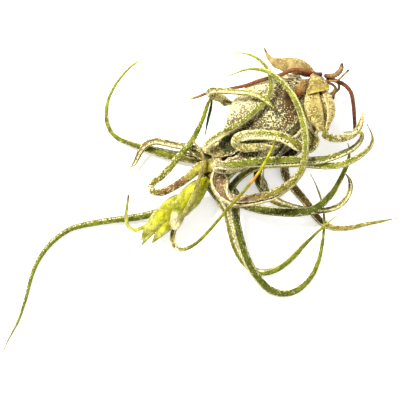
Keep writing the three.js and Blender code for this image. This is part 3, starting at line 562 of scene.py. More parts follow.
def skin_material(name, fleck_mm, fleck_colour, inside, roughness=0.7):
    """A leaf's skin: its tint, with broad blotches, fine pits, and pale flecks as dense as its scurf.
    It is darker in the gaps of the flecks and pale along its rims, and has a colour of its own inside
    the channel."""
    shader = Shader(name, Roughness=roughness, Specular_IOR_Level=0.25)
    tint = shader.attribute("tint", "Color")
    scurf = shader.attribute("scurf")
    rim = shader.attribute("rim")
    hidden = shader.attribute("inside")
    blotches = shader.ranged(shader.noise(420, 3, 0.7), 0.36, 0.62)
    fine = shader.noise(2400, 2)
    deep = shader.darkened(tint, (0.3, 0.28, 0.22))
    base = shader.mixed(shader.times(blotches, 0.7), tint, deep)

    # A fleck fills more of its cell where the scurf is dense, and each cell draws its own lots
    cells = shader.add("TexVoronoi", {"Vector": shader.place(), "Scale": 1000 / fleck_mm})
    lots = shader.add("SeparateColor", {"Color": cells.outputs["Color"]})
    reach = shader.times(scurf, shader.ranged(lots.outputs[0], 0, 1, 0.2, 0.85))
    ragged = shader.plus(cells.outputs["Distance"], shader.ranged(fine, 0.3, 0.7, -0.14, 0.14))
    fleck = shader.ranged(shader.minus(reach, ragged), -0.02, 0.03)
    shade = shader.mixed(shader.ranged(lots.outputs[1], 0, 1, 0, 0.5), fleck_colour, tint)

    between = shader.mixed(shader.ranged(scurf, 0.5, 1.1, 0, 0.6), base, deep)
    outside = shader.mixed(shader.times(fleck, 0.92), between, shade)
    edge = shader.times(rim, shader.ranged(scurf, 0.1, 0.6, 0.1, 0.72))
    edged = shader.mixed(edge, outside, fleck_colour)
    inner = shader.mixed(shader.times(fleck, 0.8), shader.mixed(0.5, tint, inside), shade)
    whole = shader.mixed(hidden, edged, inner)
    pitted = shader.darkened(whole, (0.7, 0.67, 0.56))
    shader.bump(shader.plus(fleck, shader.times(fine, 0.5)), 0.12)
    return shader.colour(shader.mixed(shader.ranged(fine, 0.36, 0.54), pitted, whole))


def scale_material(name, pale, dull):
    """The flakes, each of its own tone."""
    # the emission is painted light: the flakes glow faintly in their own tone, for light scattered
    # through the scales
    shader = Shader(name, Roughness=0.55, Specular_IOR_Level=0.4, Emission_Strength=0.3)
    tone = shader.mixed(shader.attribute("tone"), dull, pale)
    shader.feed(shader.surface.inputs["Emission Color"], tone)
    return shader.colour(tone)


def root_material():
    shader = Shader("root", Roughness=0.62)
    streaks = shader.noise(1100, 4)
    tint = shader.attribute("tint", "Color")
    shader.bump(streaks, 0.12)
    dark = shader.darkened(tint, (0.4, 0.34, 0.3))
    return shader.colour(shader.mixed(shader.ranged(streaks, 0.35, 0.7), dark, tint))


def stem_material():
    shader = Shader("stem", Roughness=0.8)
    fibres = shader.noise(900, 4)
    shader.bump(fibres, 0.15)
    dark, pale = srgb(92, 68, 34), srgb(168, 144, 84)
    return shader.colour(shader.mixed(shader.ranged(fibres, 0.3, 0.7), dark, pale))


LEAF_SKIN = skin_material("leaf_skin", 0.48, CREAM, CHANNEL_BROWN)
BRACT_SKIN = skin_material("bract_skin", 0.3, srgb(236, 240, 196), srgb(150, 150, 40), 0.5)
DRY_SKIN = skin_material("dry_skin", 0.45, srgb(232, 214, 150), srgb(150, 132, 62), 0.8)
SCALES = scale_material("scales", srgb(252, 246, 214), srgb(190, 178, 112))
ROOT = root_material()
STEM = stem_material()


# Skins with their colours. Tints and scurf, how dense the scales are, are keyed along a skin: from -1
# at a sheath's start to 0 where the blade leaves, and on to 1 at the tip.

# Stains and painted shade on the bulb: its square, its reach in squares, its colour and how much scurf it
# leaves
BULB_STAINS_AND_SHADE = [
    (246, 106, 15, srgb(162, 148, 116), 1.25),
    (264, 84, 12, srgb(150, 134, 98), 1.25),
    (274, 117, 15, srgb(118, 116, 88), 1.45),
    # painted shade on the bulb where a blade overhangs it
    (251, 126, 9, srgb(84, 74, 36), 0.7),
    # the brown of the older outer sheath on the bulb's right side, darkened further by painted shade
    (290, 84, 11, srgb(96, 70, 36), 0.5),
    (290, 104, 9, srgb(86, 64, 34), 0.45),
    (292, 122, 11, srgb(108, 84, 50), 0.9),
    # painted shadow in the hollow between the leaves below the bulb
    (286, 150, 12, srgb(58, 32, 18), 0.4),
    # painted shade on the bulb's shaded neck
    (228, 148, 10, srgb(58, 66, 30), 0.4),
    # painted shadow: a dark hole between the sheaths
    (288, 97, 5, srgb(38, 22, 14), 0.1),
]
RIM_FROM = 0.93  # share of a section's half width
RIM_BLEND = 0.06
FLANK_FROM = 0.55  # sine of a surface's tilt
FLANK_BLEND = 0.3
LEVEL_SCURF = 0.5


def flanks(level):
    """1 where a surface stands upright, 0 where it is level, for the upward parts of its normals."""
    tilt = np.sqrt(np.maximum(0, 1 - level * level))
    return smooth((tilt - FLANK_FROM) / FLANK_BLEND)


def upward(rings):
    """The upward part of the surface's normal at each point of a skin's rings."""
    along = np.gradient(rings, axis=0)
    across = np.roll(rings, -1, axis=1) - np.roll(rings, 1, axis=1)
    normals = np.cross(along, across)
    return normals[..., 2] / np.maximum(1e-9, np.linalg.norm(normals, axis=2))


def stained_and_shaded(colours, scurf, points):
    """Mixes the bulb's stains and painted shade into the colours and scurf of the points that lie near
    them.
    """
    for right, down, reach, stain_and_shade, factor in BULB_STAINS_AND_SHADE:
        offsets = (points[:, :2] - spot(right, down, 0)[:2]) / (reach * SQUARE)
        share = np.exp(-(offsets ** 2).sum(axis=1))
        colours = colours * (1 - share[:, None]) + np.array(stain_and_shade) * share[:, None]
        scurf = scurf * mix(1, factor, share)
    return colours, scurf


def skin_object(name, skin, tints, scurf, material):
    """The skin's mesh. Its scurf is denser where the surface stands upright than where it is level."""
    count, loop = skin.rings.shape[:2]
    points = skin.rings.reshape(-1, 3)
    shares = np.abs(section_shares())
    rim = smooth((shares - RIM_FROM) / RIM_BLEND)
    rim = np.concatenate([rim, rim[1:-1]])
    inside = np.concatenate([np.zeros(SECTION_POINTS), smooth((1 - shares[1:-1]) / RIM_BLEND)])
    colours = np.repeat(keyed(tints, skin.places), loop, axis=0)
    # the scales are real, but the extra scurf on upright skin is painted sheen that pales the flanks
    flank = flanks(upward(skin.rings)).ravel()
    thick = np.repeat(keyed(scurf, skin.places), loop) * (LEVEL_SCURF + flank)
    held = np.repeat(skin.places < 0, loop)
    # the sheaths get the bulb's stains and its painted shade
    colours[held], thick[held] = stained_and_shaded(colours[held], thick[held], points[held])
    skin.scurf = thick.reshape(count, loop)[:, :SECTION_POINTS]
    values = {"scurf": thick, "rim": np.tile(rim, count), "inside": np.tile(inside, count)}
    faces = [ring_quads(count, loop), *strip_caps(count)]
    return make_object(name, points, faces, material, values, {"tint": colours})


# Trichomes: flakes scattered over a skin's outer face, and a fringe along its rims

# How many flakes a skin has, on each square mm and each mm of rim, and their size in mm
Coat = collections.namedtuple("Coat", "per_mm2 length width fringe_per_mm fringe_length")
LEAF_COAT = Coat(7.5, 0.5, 0.25, 6, 0.5)
BRACT_COAT = Coat(7, 0.3, 0.12, 8, 0.4)
OFFSET_COAT = Coat(9, 0.45, 0.18, 0, 0)

# Shares of the flakes on level and on upright skin. The extra flakes on upright skin are painted sheen on
# the flanks.
ON_LEVEL = 0.35
MORE_UPRIGHT = 1.5

# How flakes are turned, in radians, and their sizes, as shares of the coat's. A pair is the least and
# the most.
FLAKE_TURN = 0.5
FLAKE_LIFT = (0.5, 1.2)
FLAKE_SIZES = (0.75, 1.25)
FRINGE_LEAN = (0.2, 1.1)
FRINGE_ROLL = 0.35
FRINGE_SIZES = (0.7, 1.3)


def flake_points(bases, ways, normals, lengths, widths):
    """Four points for each flake: base, left, tip and right. The tip curls up a little."""
    sides = np.cross(ways, normals)
    middle = bases + ways * (lengths * 0.45)[:, None] + normals * (lengths * 0.1)[:, None]
    tips = bases + ways * lengths[:, None] + normals * (lengths * 0.3)[:, None]
    reach = sides * (widths / 2)[:, None]
    return np.stack([bases - normals * 0.03, middle - reach, tips, middle + reach], axis=1)


def scattered(skin, coat, rng):
    """Flakes at random on the outer face, more of them where the scurf is dense."""
    scurf = (skin.scurf[:-1, :-1] + skin.scurf[1:, 1:]) / 2
    grid = skin.outer
    a, b, c, d = grid[:-1, :-1], grid[:-1, 1:], grid[1:, 1:], grid[1:, :-1]
    normals = np.cross(b - a + c - d, d - a + c - b) / 2
    areas = np.linalg.norm(normals, axis=2) / 2
    upright = flanks(normals[..., 2] / np.maximum(1e-9, 2 * areas))
    wanted = areas * scurf * (ON_LEVEL + MORE_UPRIGHT * upright) * coat.per_mm2
    total = int(wanted.sum())
    chosen = rng.choice(wanted.size, total, p=(wanted / wanted.sum()).ravel())
    row, column = np.unravel_index(chosen, wanted.shape)
    u, v = rng.random((2, total, 1))
    a, b, c, d = (corner[row, column] for corner in (a, b, c, d))
    bases = (a * (1 - v) + b * v) * (1 - u) + (d * (1 - v) + c * v) * u
    normal = -units(normals[row, column])
    way = units((d - a) + (c - b))
    across = np.cross(normal, way)
    turn = rng.normal(0, FLAKE_TURN, total)[:, None]
    lift = rng.uniform(*FLAKE_LIFT, total)[:, None]
    level = way * np.cos(turn) + across * np.sin(turn)
    ways = level * np.cos(lift) + normal * np.sin(lift)
    ups = normal * np.cos(lift) - level * np.sin(lift)
    size = rng.uniform(*FLAKE_SIZES, total)
    return flake_points(bases, ways, ups, coat.length * size, coat.width * size)


def fringe(skin, scurf, coat, rng):
    """Flakes that stand out of both rims."""
    found = [np.zeros((0, 4, 3))]
    for rim, within in ((0, 2), (-1, -3)):
        line = skin.outer[:, rim]
        steps = np.linalg.norm(np.diff(line, axis=0), axis=1)
        wanted = steps * (scurf[:-1] + scurf[1:]) / 2 * coat.fringe_per_mm
        total = int(wanted.sum())
        if total == 0:
            continue
        row = rng.choice(wanted.size, total, p=wanted / wanted.sum())
        u = rng.random((total, 1))
        bases = line[row] * (1 - u) + line[row + 1] * u
        way = units(line[row + 1] - line[row])
        out = units(line - skin.outer[:, within])[row]
        normal = units(np.cross(way, out))
        lean = rng.uniform(*FRINGE_LEAN, total)[:, None]
        roll = rng.normal(0, FRINGE_ROLL, total)[:, None]
        ways = units(out * np.cos(lean) + way * np.sin(lean) + normal * roll)
        size = rng.uniform(*FRINGE_SIZES, total)
        found.append(flake_points(bases, ways, normal, coat.fringe_length * size, coat.width * size))
    return np.concatenate(found)


def settle(piece, slot, *nodes):
    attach(piece, "root")
    if nodes:
        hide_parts(*nodes)


def coated(name, slot, skin, scurf, coat, rng):
    """Makes the flakes of a skin, one object, each flake with a tone of its own."""
    flakes = np.concatenate([
        scattered(skin, coat, rng),
        fringe(skin, keyed(scurf, skin.places), coat, rng),
    ])
    count = len(flakes)
    tone = np.repeat(rng.random(count), 4)
    faces = np.arange(count * 4).reshape(-1, 4)
    points = above(flakes.reshape(-1, 3), 0)
    settle(make_object(name, points, [faces], SCALES, {"tone": tone}), slot)


# The leaves, as in the CAD part, with their looks

SHEATH_TINTS = {-1: BULB_BROWN, -0.5: BULB_CREAM, -0.12: BULB_GREY}
BLADE_TINTS = {0.1: OLIVE, 0.45: GREEN, 0.85: FRESH_GREEN, 0.97: LIME, 1: TIP_BROWN}
BLADE_SCURF = {-1: 1.3, 0: 0.85, 0.3: 0.75, 0.8: 0.65, 0.95: 0.4, 1: 0.1}

leaf_seeds = itertools.count(100)


def leaf(name, tier, azimuth, leave, facing, route, tints=BLADE_TINTS, scurf=BLADE_SCURF, **own):
    """Makes a leaf's skin and scales. It leaves the shoot `leave` mm along it, at this azimuth, and its
    back faces the rolls in `facing`. `own` holds what differs from its tier's usual values."""
    usual = {
        "shoot": BULB,
        "half_angle": HALF_ANGLES[tier],
        "wall": WALLS[tier],
        "lap": LAPS[tier],
        "leaving": LEAVINGS[tier],
        "leaving_half": LEAVING_HALVES[tier],
    }
    skin = leaf_skin(tier, math.radians(azimuth), leave, facing, route, **{**usual, **own})
    if min(tints) >= 0:
        tints = SHEATH_TINTS | tints
    slot = "bulb_leaf" if tier == 0 else "green_leaf"
    settle(skin_object(name + ".skin", skin, tints, scurf, LEAF_SKIN), slot, name)
    rng = np.random.default_rng(next(leaf_seeds))
    coated(name + ".scales", slot, skin, scurf, LEAF_COAT, rng)


leaf(
    "leaf_outer_1", tier=0, azimuth=25, leave=36,
    facing={0.3: 190, 0.42: 240, 1: 250},
    tints={
        # the blade's first stretch, in the bulb's shaded neck, is painted shade
        0: PAINTED_SHADE_GREEN, 0.045: PAINTED_SHADE_GREEN, 0.08: STRAW, 0.13: SAGE, 0.25: OLIVE, 0.5: GREEN,
        0.85: FRESH_GREEN, 1: LIME,
    },
    scurf={-1: 1.3, -0.1: 1.2, 0: 0.7, 0.045: 0.85, 0.08: 1.5, 0.14: 1.3, 0.3: 1, 0.8: 0.65, 1: 0.1},
    route=[
        [219, 150, 22.8, 1.5], [211.5, 150, 23.2, 1.5], [207.2, 148.8, 24.3, 1.5], [206, 146.6, 26, 1.45],
        [208.8, 143.6, 27.8, 1.45], [216, 138.2, 28.5, 1.4], [226, 131.7, 29.2, 1.2],
        [236, 126.2, 29.4, 1.1], [246, 119.3, 29.8, 1.05], [256, 110.8, 30.3, 1.05],
        [263.5, 103.5, 30.6, 1], [269, 95, 30.7, 0.95], [271, 84, 30.2, 0.9], [268.8, 72.8, 29.2, 0.8],
        [262, 63, 28, 0.65], [254, 57.3, 27, 0.5], [244, 53.9, 26, 0.4], [233, 53, 25, 0.35],
    ],
)
leaf(
    "leaf_outer_2", tier=0, azimuth=97, leave=25, leaving=6, leaving_half=3.6,
    facing={0.5: 185, 1: 185},
    tints={0: SAGE, 0.2: SAGE, 0.35: OLIVE, 0.75: FRESH_GREEN, 0.9: OLIVE_LIME, 1: TIP_BROWN},
    scurf={-1: 1.3, 0: 1.2, 0.2: 1.1, 0.35: 0.75, 0.7: 0.65, 0.9: 0.3, 1: 0.1},
    route=[
        [232, 101, 13.2, 1.5], [223.5, 99.3, 15.4, 1.55], [215, 96.6, 18.4, 1.6], [210.3, 94, 21.4, 1.5],
        [211.3, 91.5, 23.8, 1.3], [220, 91.3, 24.9, 1.1], [235, 92.4, 27, 1], [250, 93.8, 29.5, 0.95],
        [259, 97, 32, 0.9], [266, 101.8, 33.5, 0.8], [272, 107.3, 33.4, 0.65], [276.6, 112, 32.5, 0.4],
    ],
)
leaf(
    "leaf_outer_3", tier=0, azimuth=169, leave=34,
    facing={0.12: 185, 0.3: 250, 1: 270},
    tints={
        0: PINK_GREY, 0.1: PINK_GREY, 0.16: OLIVE, 0.45: GREEN, 0.85: FRESH_GREEN, 0.97: LIME,
        1: TIP_BROWN,
    },
    scurf={-1: 1.3, 0: 1.3, 0.1: 1.1, 0.16: 0.8, 0.8: 0.65, 0.95: 0.4, 1: 0.1},
    route=[
        [224, 153, 3.9, 1.8], [210, 157.5, 3.9, 1.9], [196, 158, 3.8, 1.9], [184, 156.8, 3.4, 1.8],
        [172, 155, 3.1, 1.7], [160, 152, 3, 1.55], [150, 149, 2.8, 1.35], [138, 145.8, 2.5, 1.1],
        [128, 142.3, 2.3, 0.9], [118, 138, 2.2, 0.85], [110.5, 131, 2.2, 0.8], [106.5, 121, 2.2, 0.75],
        [106, 110, 2.4, 0.68], [108.3, 99, 2.6, 0.6], [113, 88.5, 3, 0.56], [120, 78, 3.4, 0.5],
        [130, 67, 3.9, 0.44], [140, 60, 4.2, 0.38], [150, 55.5, 4.5, 0.33],
    ],
)
leaf(
    "leaf_outer_4", tier=0, azimuth=-119, leave=20,
    facing={0.35: 240, 0.6: 240, 1: 265},
    tints={
        0: DEEP_BROWN, 0.35: BROWN_OLIVE, 0.5: BROWN_OLIVE, 0.6: TAN_GREEN, 0.85: TAN_GREEN,
        0.93: FRESH_GREEN, 1: TIP_BROWN,
    },
    scurf={-1: 1.3, 0: 0.6, 0.45: 0.6, 0.6: 1, 0.9: 0.8, 1: 0.2},
    route=[
        [289, 157, 6.5, 1.5], [285, 167, 5, 1.5], [286.5, 177, 3.6, 1.45], [293, 186.5, 2.6, 1.4],
        [301.5, 196.5, 1.9, 1.35], [309, 206, 1.7, 1.3], [315, 214.5, 1.6, 1.25],
        [322.5, 222.5, 1.5, 1.15], [331, 227, 1.4, 1.05], [341, 228.4, 1.4, 1], [352, 227.4, 1.4, 0.9],
        [362, 225.2, 1.4, 0.8], [374, 222.7, 1.7, 0.65], [386, 220.6, 2.2, 0.5], [399, 218, 3, 0.33],
    ],
)
leaf(
    "leaf_outer_5", tier=0, azimuth=-47, leave=12, leaving=7, leaving_half=2.6,
    facing={0.4: 150, 0.55: 150, 0.8: 60, 1: 60},
    tints={0: OLIVE, 0.3: OLIVE, 0.5: FRESH_GREEN, 0.6: SAGE, 0.8: SAGE, 1: BULB_CREAM},
    scurf={-1: 1.3, 0: 0.9, 0.3: 0.85, 0.5: 1.1, 0.6: 1.3, 1: 1.3},
    route=[
        [311.8, 133, 24.1, 2.1], [313.2, 141, 25.8, 2], [309, 147.5, 27.6, 1.95], [300, 147, 28.8, 1.9],
        [290, 141.5, 29.7, 1.85], [280, 137.4, 30.2, 1.8], [269, 135.6, 30.5, 1.75],
        [257, 135.1, 30.6, 1.75], [246, 135.8, 30.6, 1.75], [238.2, 138, 30.3, 1.65],
        [235.3, 142, 29.2, 1.55], [238, 146.2, 28, 1.5], [245, 147.9, 27.7, 1.5],
        [256, 147.5, 27.8, 1.45], [268, 147, 27.9, 1.3], [277, 146.6, 28, 0.8],
    ],
)
leaf(
    "leaf_middle_1", tier=1, azimuth=44, leave=41, leaving=20, leaving_half=2.4,
    facing={0.14: 170, 0.26: 220, 0.5: 238, 1: 250},
    tints={0: PINK_BROWN, 0.2: PINK_BROWN, 0.32: OLIVE, 0.6: FRESH_GREEN, 0.95: FRESH_GREEN, 1: LIME},
    scurf={-1: 1.3, 0: 1.3, 0.14: 1.1, 0.28: 0.75, 0.6: 0.8, 0.9: 0.6, 1: 0.2},
    route=[
        [215.3, 160, 20.9, 1.85], [215.1, 170, 21.2, 1.9], [216.4, 182, 21.6, 2.2],
        [221.6, 193.6, 21.8, 2.25], [232.5, 200.4, 21.6, 2.15], [246, 200.6, 21.6, 2.05],
        [260, 198.3, 21.7, 1.9], [272, 195, 21.9, 1.8], [283, 189, 23, 1.6], [291.5, 182.5, 24.8, 1.45],
        [298.5, 174.5, 27.2, 1.3], [302.8, 165, 29.4, 1.2], [304.7, 152, 31.8, 1.15],
        [304.8, 139, 33.2, 1.15], [302.8, 125, 33.5, 1.15], [299, 111, 33.5, 1.1],
        [293.2, 98, 33.5, 1.05], [286.5, 88.3, 33, 0.95], [278.3, 79.8, 32.5, 0.95],
        [269.5, 73.3, 31.8, 0.85], [260, 70.3, 30.5, 0.7], [248, 69.8, 29, 0.5], [235, 73.8, 27, 0.35],
        [219, 81, 25, 0.33],
    ],
)
leaf(
    "leaf_middle_2", tier=1, azimuth=116, leave=40,
    facing={0.4: 165, 1: 165},
    tints={0: SAGE, 0.2: OLIVE, 0.6: BROWN_OLIVE, 1: OLIVE},
    scurf={-1: 1.3, 0: 1, 0.2: 0.6, 1: 0.5},
    route=[
        [209, 150, 12, 1.3], [198, 148.8, 12, 1.3], [187, 146.8, 11.5, 1.25], [176, 145.2, 10, 1.2],
        [165, 142.7, 8.5, 1.2], [155, 141.3, 7.5, 1.2], [146.5, 144.3, 6.6, 1.15], [140.3, 151.5, 5.6, 1],
        [135.8, 160.5, 4.6, 0.85], [131.5, 167, 3.9, 0.75], [128.5, 169.8, 3.5, 0.65],
    ],
)
leaf(
    "leaf_middle_3", tier=1, azimuth=-172, leave=40,
    facing={0.3: 110, 1: 95},
    tints={0: DARK_GREEN, 0.6: DARK_GREEN, 0.9: GREEN, 1: FRESH_GREEN},
    route=[
        [222, 174, 6, 1.5], [222, 188, 5.6, 1.5], [232, 199.5, 5.6, 1.5], [247, 206, 6.4, 1.4],
        [262, 209.5, 7.5, 1.6], [276, 211.2, 8.4, 1.65], [290, 212.2, 9.1, 1.65], [301, 211.8, 9.6, 1.55],
        [311, 210.3, 9.8, 1.4], [320, 205.3, 10, 1.3], [328, 197.8, 10, 1.2], [334.5, 189.5, 9.8, 1],
        [340, 180, 9.5, 0.9], [344.3, 171, 9.3, 0.85], [348.5, 160, 9, 0.75], [349.5, 151, 8.8, 0.65],
        [348, 143, 8.6, 0.5],
    ],
)
leaf(
    "leaf_middle_4", tier=1, azimuth=-100, leave=32,
    facing={0.4: 150, 0.7: 195, 1: 200},
    tints={0: BROWN_OLIVE, 0.25: OLIVE, 0.5: DARK_GREEN, 0.8: OLIVE, 1: OLIVE},
    scurf={-1: 1.3, 0: 0.7, 0.3: 0.6, 0.8: 0.8, 1: 0.6},
    route=[
        [262, 172, 11, 1.9], [261.5, 182, 8.5, 1.9], [265.5, 192, 7, 1.6], [274, 199.5, 6.3, 1.4],
        [285, 204.5, 6, 1.2], [298, 208.3, 6, 1.15], [312, 210.8, 6, 1.05], [326, 210.3, 6.2, 0.95],
        [338, 206.3, 6.5, 0.95], [346.3, 199, 6.8, 0.9], [350.8, 188, 6.8, 0.8], [349.3, 178.5, 6.6, 0.7],
        [344, 171.5, 6.4, 0.5],
    ],
)
leaf(
    "leaf_middle_5", tier=1, azimuth=-28, leave=37,
    facing={0.32: 238, 1: 230},
    tints={0: PINK_GREY, 0.19: PINK_GREY, 0.26: GREEN, 0.8: GREEN, 1: LIME},
    scurf={-1: 1.3, 0: 1.2, 0.19: 1.1, 0.28: 0.75, 0.9: 0.75, 1: 0.2},
    route=[
        [234, 168, 23.2, 1.6], [225, 169.5, 25.3, 1.5], [218.5, 169.3, 26.2, 1.4],
        [214.4, 167.6, 27.8, 1.3], [217.5, 165, 30.2, 1.35], [226, 165.8, 30.2, 1.5],
        [237, 164.7, 29.5, 1.6], [250, 162.8, 28.2, 1.65], [265, 162, 26.9, 1.75], [281, 161.6, 26, 1.75],
        [297, 161.3, 26, 1.7], [311, 161.3, 25, 1.5], [323, 159.6, 23.3, 1.3], [333, 157, 21.6, 1.2],
        [342, 153.8, 20, 1.1], [351, 149.5, 18.3, 1], [357.5, 144.3, 17, 0.9], [361.5, 138, 15.8, 0.8],
        [361, 132.8, 15, 0.65], [354, 131.8, 14.5, 0.5], [343.5, 132.3, 14.5, 0.35],
    ],
)
leaf(
    "leaf_inner_1", tier=2, azimuth=40, leave=44,
    facing={0.12: 20, 0.45: 275, 1: 270},
    tints={
        0: YELLOW_OLIVE, 0.12: YELLOW_OLIVE, 0.17: PURPLE_BROWN, 0.25: PURPLE_BROWN, 0.29: OLIVE,
        0.6: GREEN, 0.8: GREEN, 0.88: BLUE_GREEN, 1: BLUE_GREEN,
    },
    scurf={-1: 0.3, 0: 0.4, 0.15: 0.8, 0.3: 1, 0.7: 0.85, 0.82: 0.5, 1: 0.2},
    route=[
        [205, 166, 16.4, 1.5], [198.5, 168.8, 17, 1.5], [190.8, 175, 17, 1.45], [181.6, 181.8, 16.6, 1.4],
        [172.4, 187.4, 16, 1.35], [163.3, 191.5, 15.9, 1.4], [156.8, 192.4, 15.6, 1.35],
        [152.2, 190.8, 14.7, 1.2], [150.8, 187.3, 13.3, 1.15], [153.2, 182.9, 12.3, 1.25],
        [160.5, 177.3, 12.4, 1.3], [168, 170, 13.2, 1.3], [176, 160.3, 14.2, 1.25],
        [184.7, 150, 14.8, 1.15], [192.4, 140, 14.8, 1.05], [198, 129.5, 14.2, 0.9],
        [202.6, 119, 13.2, 0.8], [206, 109.5, 12.8, 0.7], [208.6, 102, 12.6, 0.55],
        [210.8, 98.8, 11.7, 0.45], [211.6, 101.8, 10.5, 0.45], [210.5, 109, 10.2, 0.55],
        [208.3, 118, 10.4, 0.55], [206.3, 128, 10.7, 0.5], [204.6, 139, 11.1, 0.36],
    ],
)
leaf(
    "leaf_inner_2", tier=2, azimuth=130, leave=44,
    facing={0.3: 160, 0.5: 160, 0.7: 100, 1: 90},
    tints={0: BROWN_OLIVE, 0.3: OLIVE, 0.5: GREEN, 0.85: GREEN, 1: LIME},
    route=[
        [208, 167, 9.6, 1.4], [205, 177, 8, 1.4], [210.5, 188, 6.6, 1.35], [218.5, 199, 5.5, 1.3],
        [225.5, 211, 4.4, 1.3], [229.5, 224, 3.4, 1.3], [232.5, 238, 2.4, 1.25], [237.5, 252, 1.6, 1.2],
        [245, 263.5, 1.35, 1.15], [254, 270.5, 1.25, 1.15], [264, 272.5, 1.2, 1.15],
        [274.5, 270.3, 1.3, 1.12], [285, 264.3, 1.7, 1.02], [295, 255.3, 2.4, 0.95],
        [304, 245.5, 3.4, 0.85], [313, 236.6, 4.6, 0.6], [322, 228.2, 6, 0.48], [329, 222, 6.6, 0.36],
        [337, 216, 6.5, 0.33],
    ],
)
leaf(
    "leaf_inner_3", tier=2, azimuth=-140, leave=44,
    facing={0.3: 245, 0.6: 265, 1: 265},
    tints={0: DARK_GREEN, 0.45: DARK_GREEN, 0.7: GREEN, 0.95: FRESH_GREEN, 1: LIME},
    route=[
        [227.5, 186.5, 10.5, 2], [234, 194, 10.1, 2], [235.3, 203, 9.7, 1.9], [234.8, 213, 9.1, 1.7],
        [236.2, 224, 8.4, 1.6], [239.6, 238, 7.4, 1.55], [243.4, 251, 6.3, 1.5], [248.8, 264, 5.2, 1.5],
        [257, 277, 4.1, 1.45], [266.5, 287.5, 3, 1.4], [276.5, 292.8, 2.1, 1.35], [287, 294, 1.6, 1.25],
        [297.5, 290.6, 1.5, 1.15], [307, 283, 1.6, 1.05], [314.3, 272.5, 1.9, 0.95],
        [319.3, 260, 2.4, 0.78], [322.3, 247, 3, 0.7], [324, 234, 3.6, 0.56], [324.6, 221, 4, 0.42],
        [323.8, 209, 3.8, 0.38], [320.5, 196, 3.5, 0.35], [315.5, 183, 3.7, 0.33], [311, 174, 4, 0.33],
    ],
)
leaf(
    "leaf_inner_4", tier=2, azimuth=-50, leave=44,
    facing={0.35: 245, 1: 235},
    tints={0: DARK_GREEN, 0.24: DARK_GREEN, 0.34: OLIVE, 0.7: FRESH_GREEN, 0.93: OLIVE, 1: TIP_BROWN},
    scurf={-1: 1.3, 0: 0.3, 0.24: 0.35, 0.34: 0.85, 0.9: 0.9, 1: 0.2},
    route=[
        [223.5, 181.3, 15.1, 1.3], [219.5, 187, 14.4, 1.3], [223.2, 192, 14.9, 1.3],
        [231, 187.5, 16, 1.25], [237, 180.5, 17.8, 1.15], [244.5, 174, 20.4, 1.15],
        [254, 168.5, 22.2, 1.15], [266, 165.4, 22.8, 1.15], [282, 164.2, 22.6, 1.2],
        [298, 163.8, 22.4, 1.2], [312, 165, 21.9, 1.2], [325, 166.2, 21.2, 1.2], [335, 165.8, 20.6, 1.2],
        [343, 164.2, 20, 1.15], [351, 161, 19.4, 1.05], [360, 155.8, 18.3, 0.95],
        [367, 150.3, 17.3, 0.85], [371.3, 144, 16.5, 0.75], [372.6, 138.5, 16, 0.65],
        [370.8, 132, 15.5, 0.5], [366.8, 124, 15, 0.33],
    ],
)
leaf(
    "leaf_stalk_1", tier=3, azimuth=138, leave=50, half_angle=45, leaving_half=2.1,
    facing={0.25: 235, 0.4: 225, 0.7: 225, 1: 250},
    tints={-1: OLIVE_LIME, -0.1: OLIVE_LIME, 0: OLIVE, 0.3: GREEN, 0.85: GREEN, 1: SAGE},
    scurf={-1: 0.3, 0: 0.4, 0.2: 0.5, 0.5: 0.45, 0.8: 0.2, 1: 0},
    route=[
        [199.5, 181.5, 10, 1.25], [190, 190, 7.5, 1.25], [178, 201, 5.2, 1.3], [166, 208.5, 3.8, 1.3],
        [152, 213.7, 2.9, 1.25], [140, 216.5, 2.4, 1.25], [128, 218.3, 2.1, 1.2], [112, 220.2, 1.8, 1.1],
        [98, 222.3, 1.6, 1.05], [82, 225.3, 1.5, 1], [70, 229, 1.4, 0.92], [60, 235, 1.3, 0.9],
        [50, 243.5, 1.2, 0.85], [42, 253.5, 1.2, 0.8], [35.5, 264.5, 1.1, 0.72], [31, 276, 1, 0.65],
        [28, 287, 0.95, 0.6], [25.5, 297, 0.9, 0.55], [22, 308.5, 0.8, 0.48], [18, 320, 0.7, 0.42],
        [12.5, 331, 0.6, 0.36], [7, 341, 0.5, 0.33], [3, 350, 0.45, 0.33],
    ],
)
leaf(
    "leaf_stalk_2", tier=3, azimuth=-170, leave=54, begins=51.5, half_angle=35, leaving_half=1.6,
    facing={0.12: 125, 0.25: 125, 0.5: 90, 1: 90},
    tints={
        -1: OLIVE_LIME, 0: OLIVE_LIME, 0.08: BROWN_OLIVE, 0.22: OLIVE, 0.5: OLIVE_LIME, 0.74: OLIVE_LIME,
        0.79: ORANGE, 0.83: LIME, 1: LIME,
    },
    scurf={-1: 0.3, 0: 0.6, 0.3: 0.8, 0.45: 0.3, 0.7: 0.15, 1: 0.05},
    route=[
        [194, 200, 8.6, 1.1], [184, 212, 6.8, 1], [176, 225, 6, 0.95], [172.6, 235, 6.3, 0.9],
        [173.2, 243, 7.5, 0.85], [177, 248.3, 9.5, 0.8], [183, 249.3, 12, 0.75], [190, 247, 14, 0.7],
        [199, 240.7, 16.3, 0.62], [208, 231.5, 18.8, 0.6], [217, 221.3, 21.5, 0.58],
        [226, 210.5, 24, 0.56], [236, 199.5, 26.3, 0.55], [247, 187, 28.4, 0.53], [257, 174.5, 30.3, 0.5],
        [263.5, 164, 31.9, 0.47], [268.5, 154.5, 33.2, 0.43], [272.5, 145.5, 34, 0.39],
        [275, 138.5, 34.2, 0.35], [276.3, 132.5, 34.2, 0.33],
    ],
)
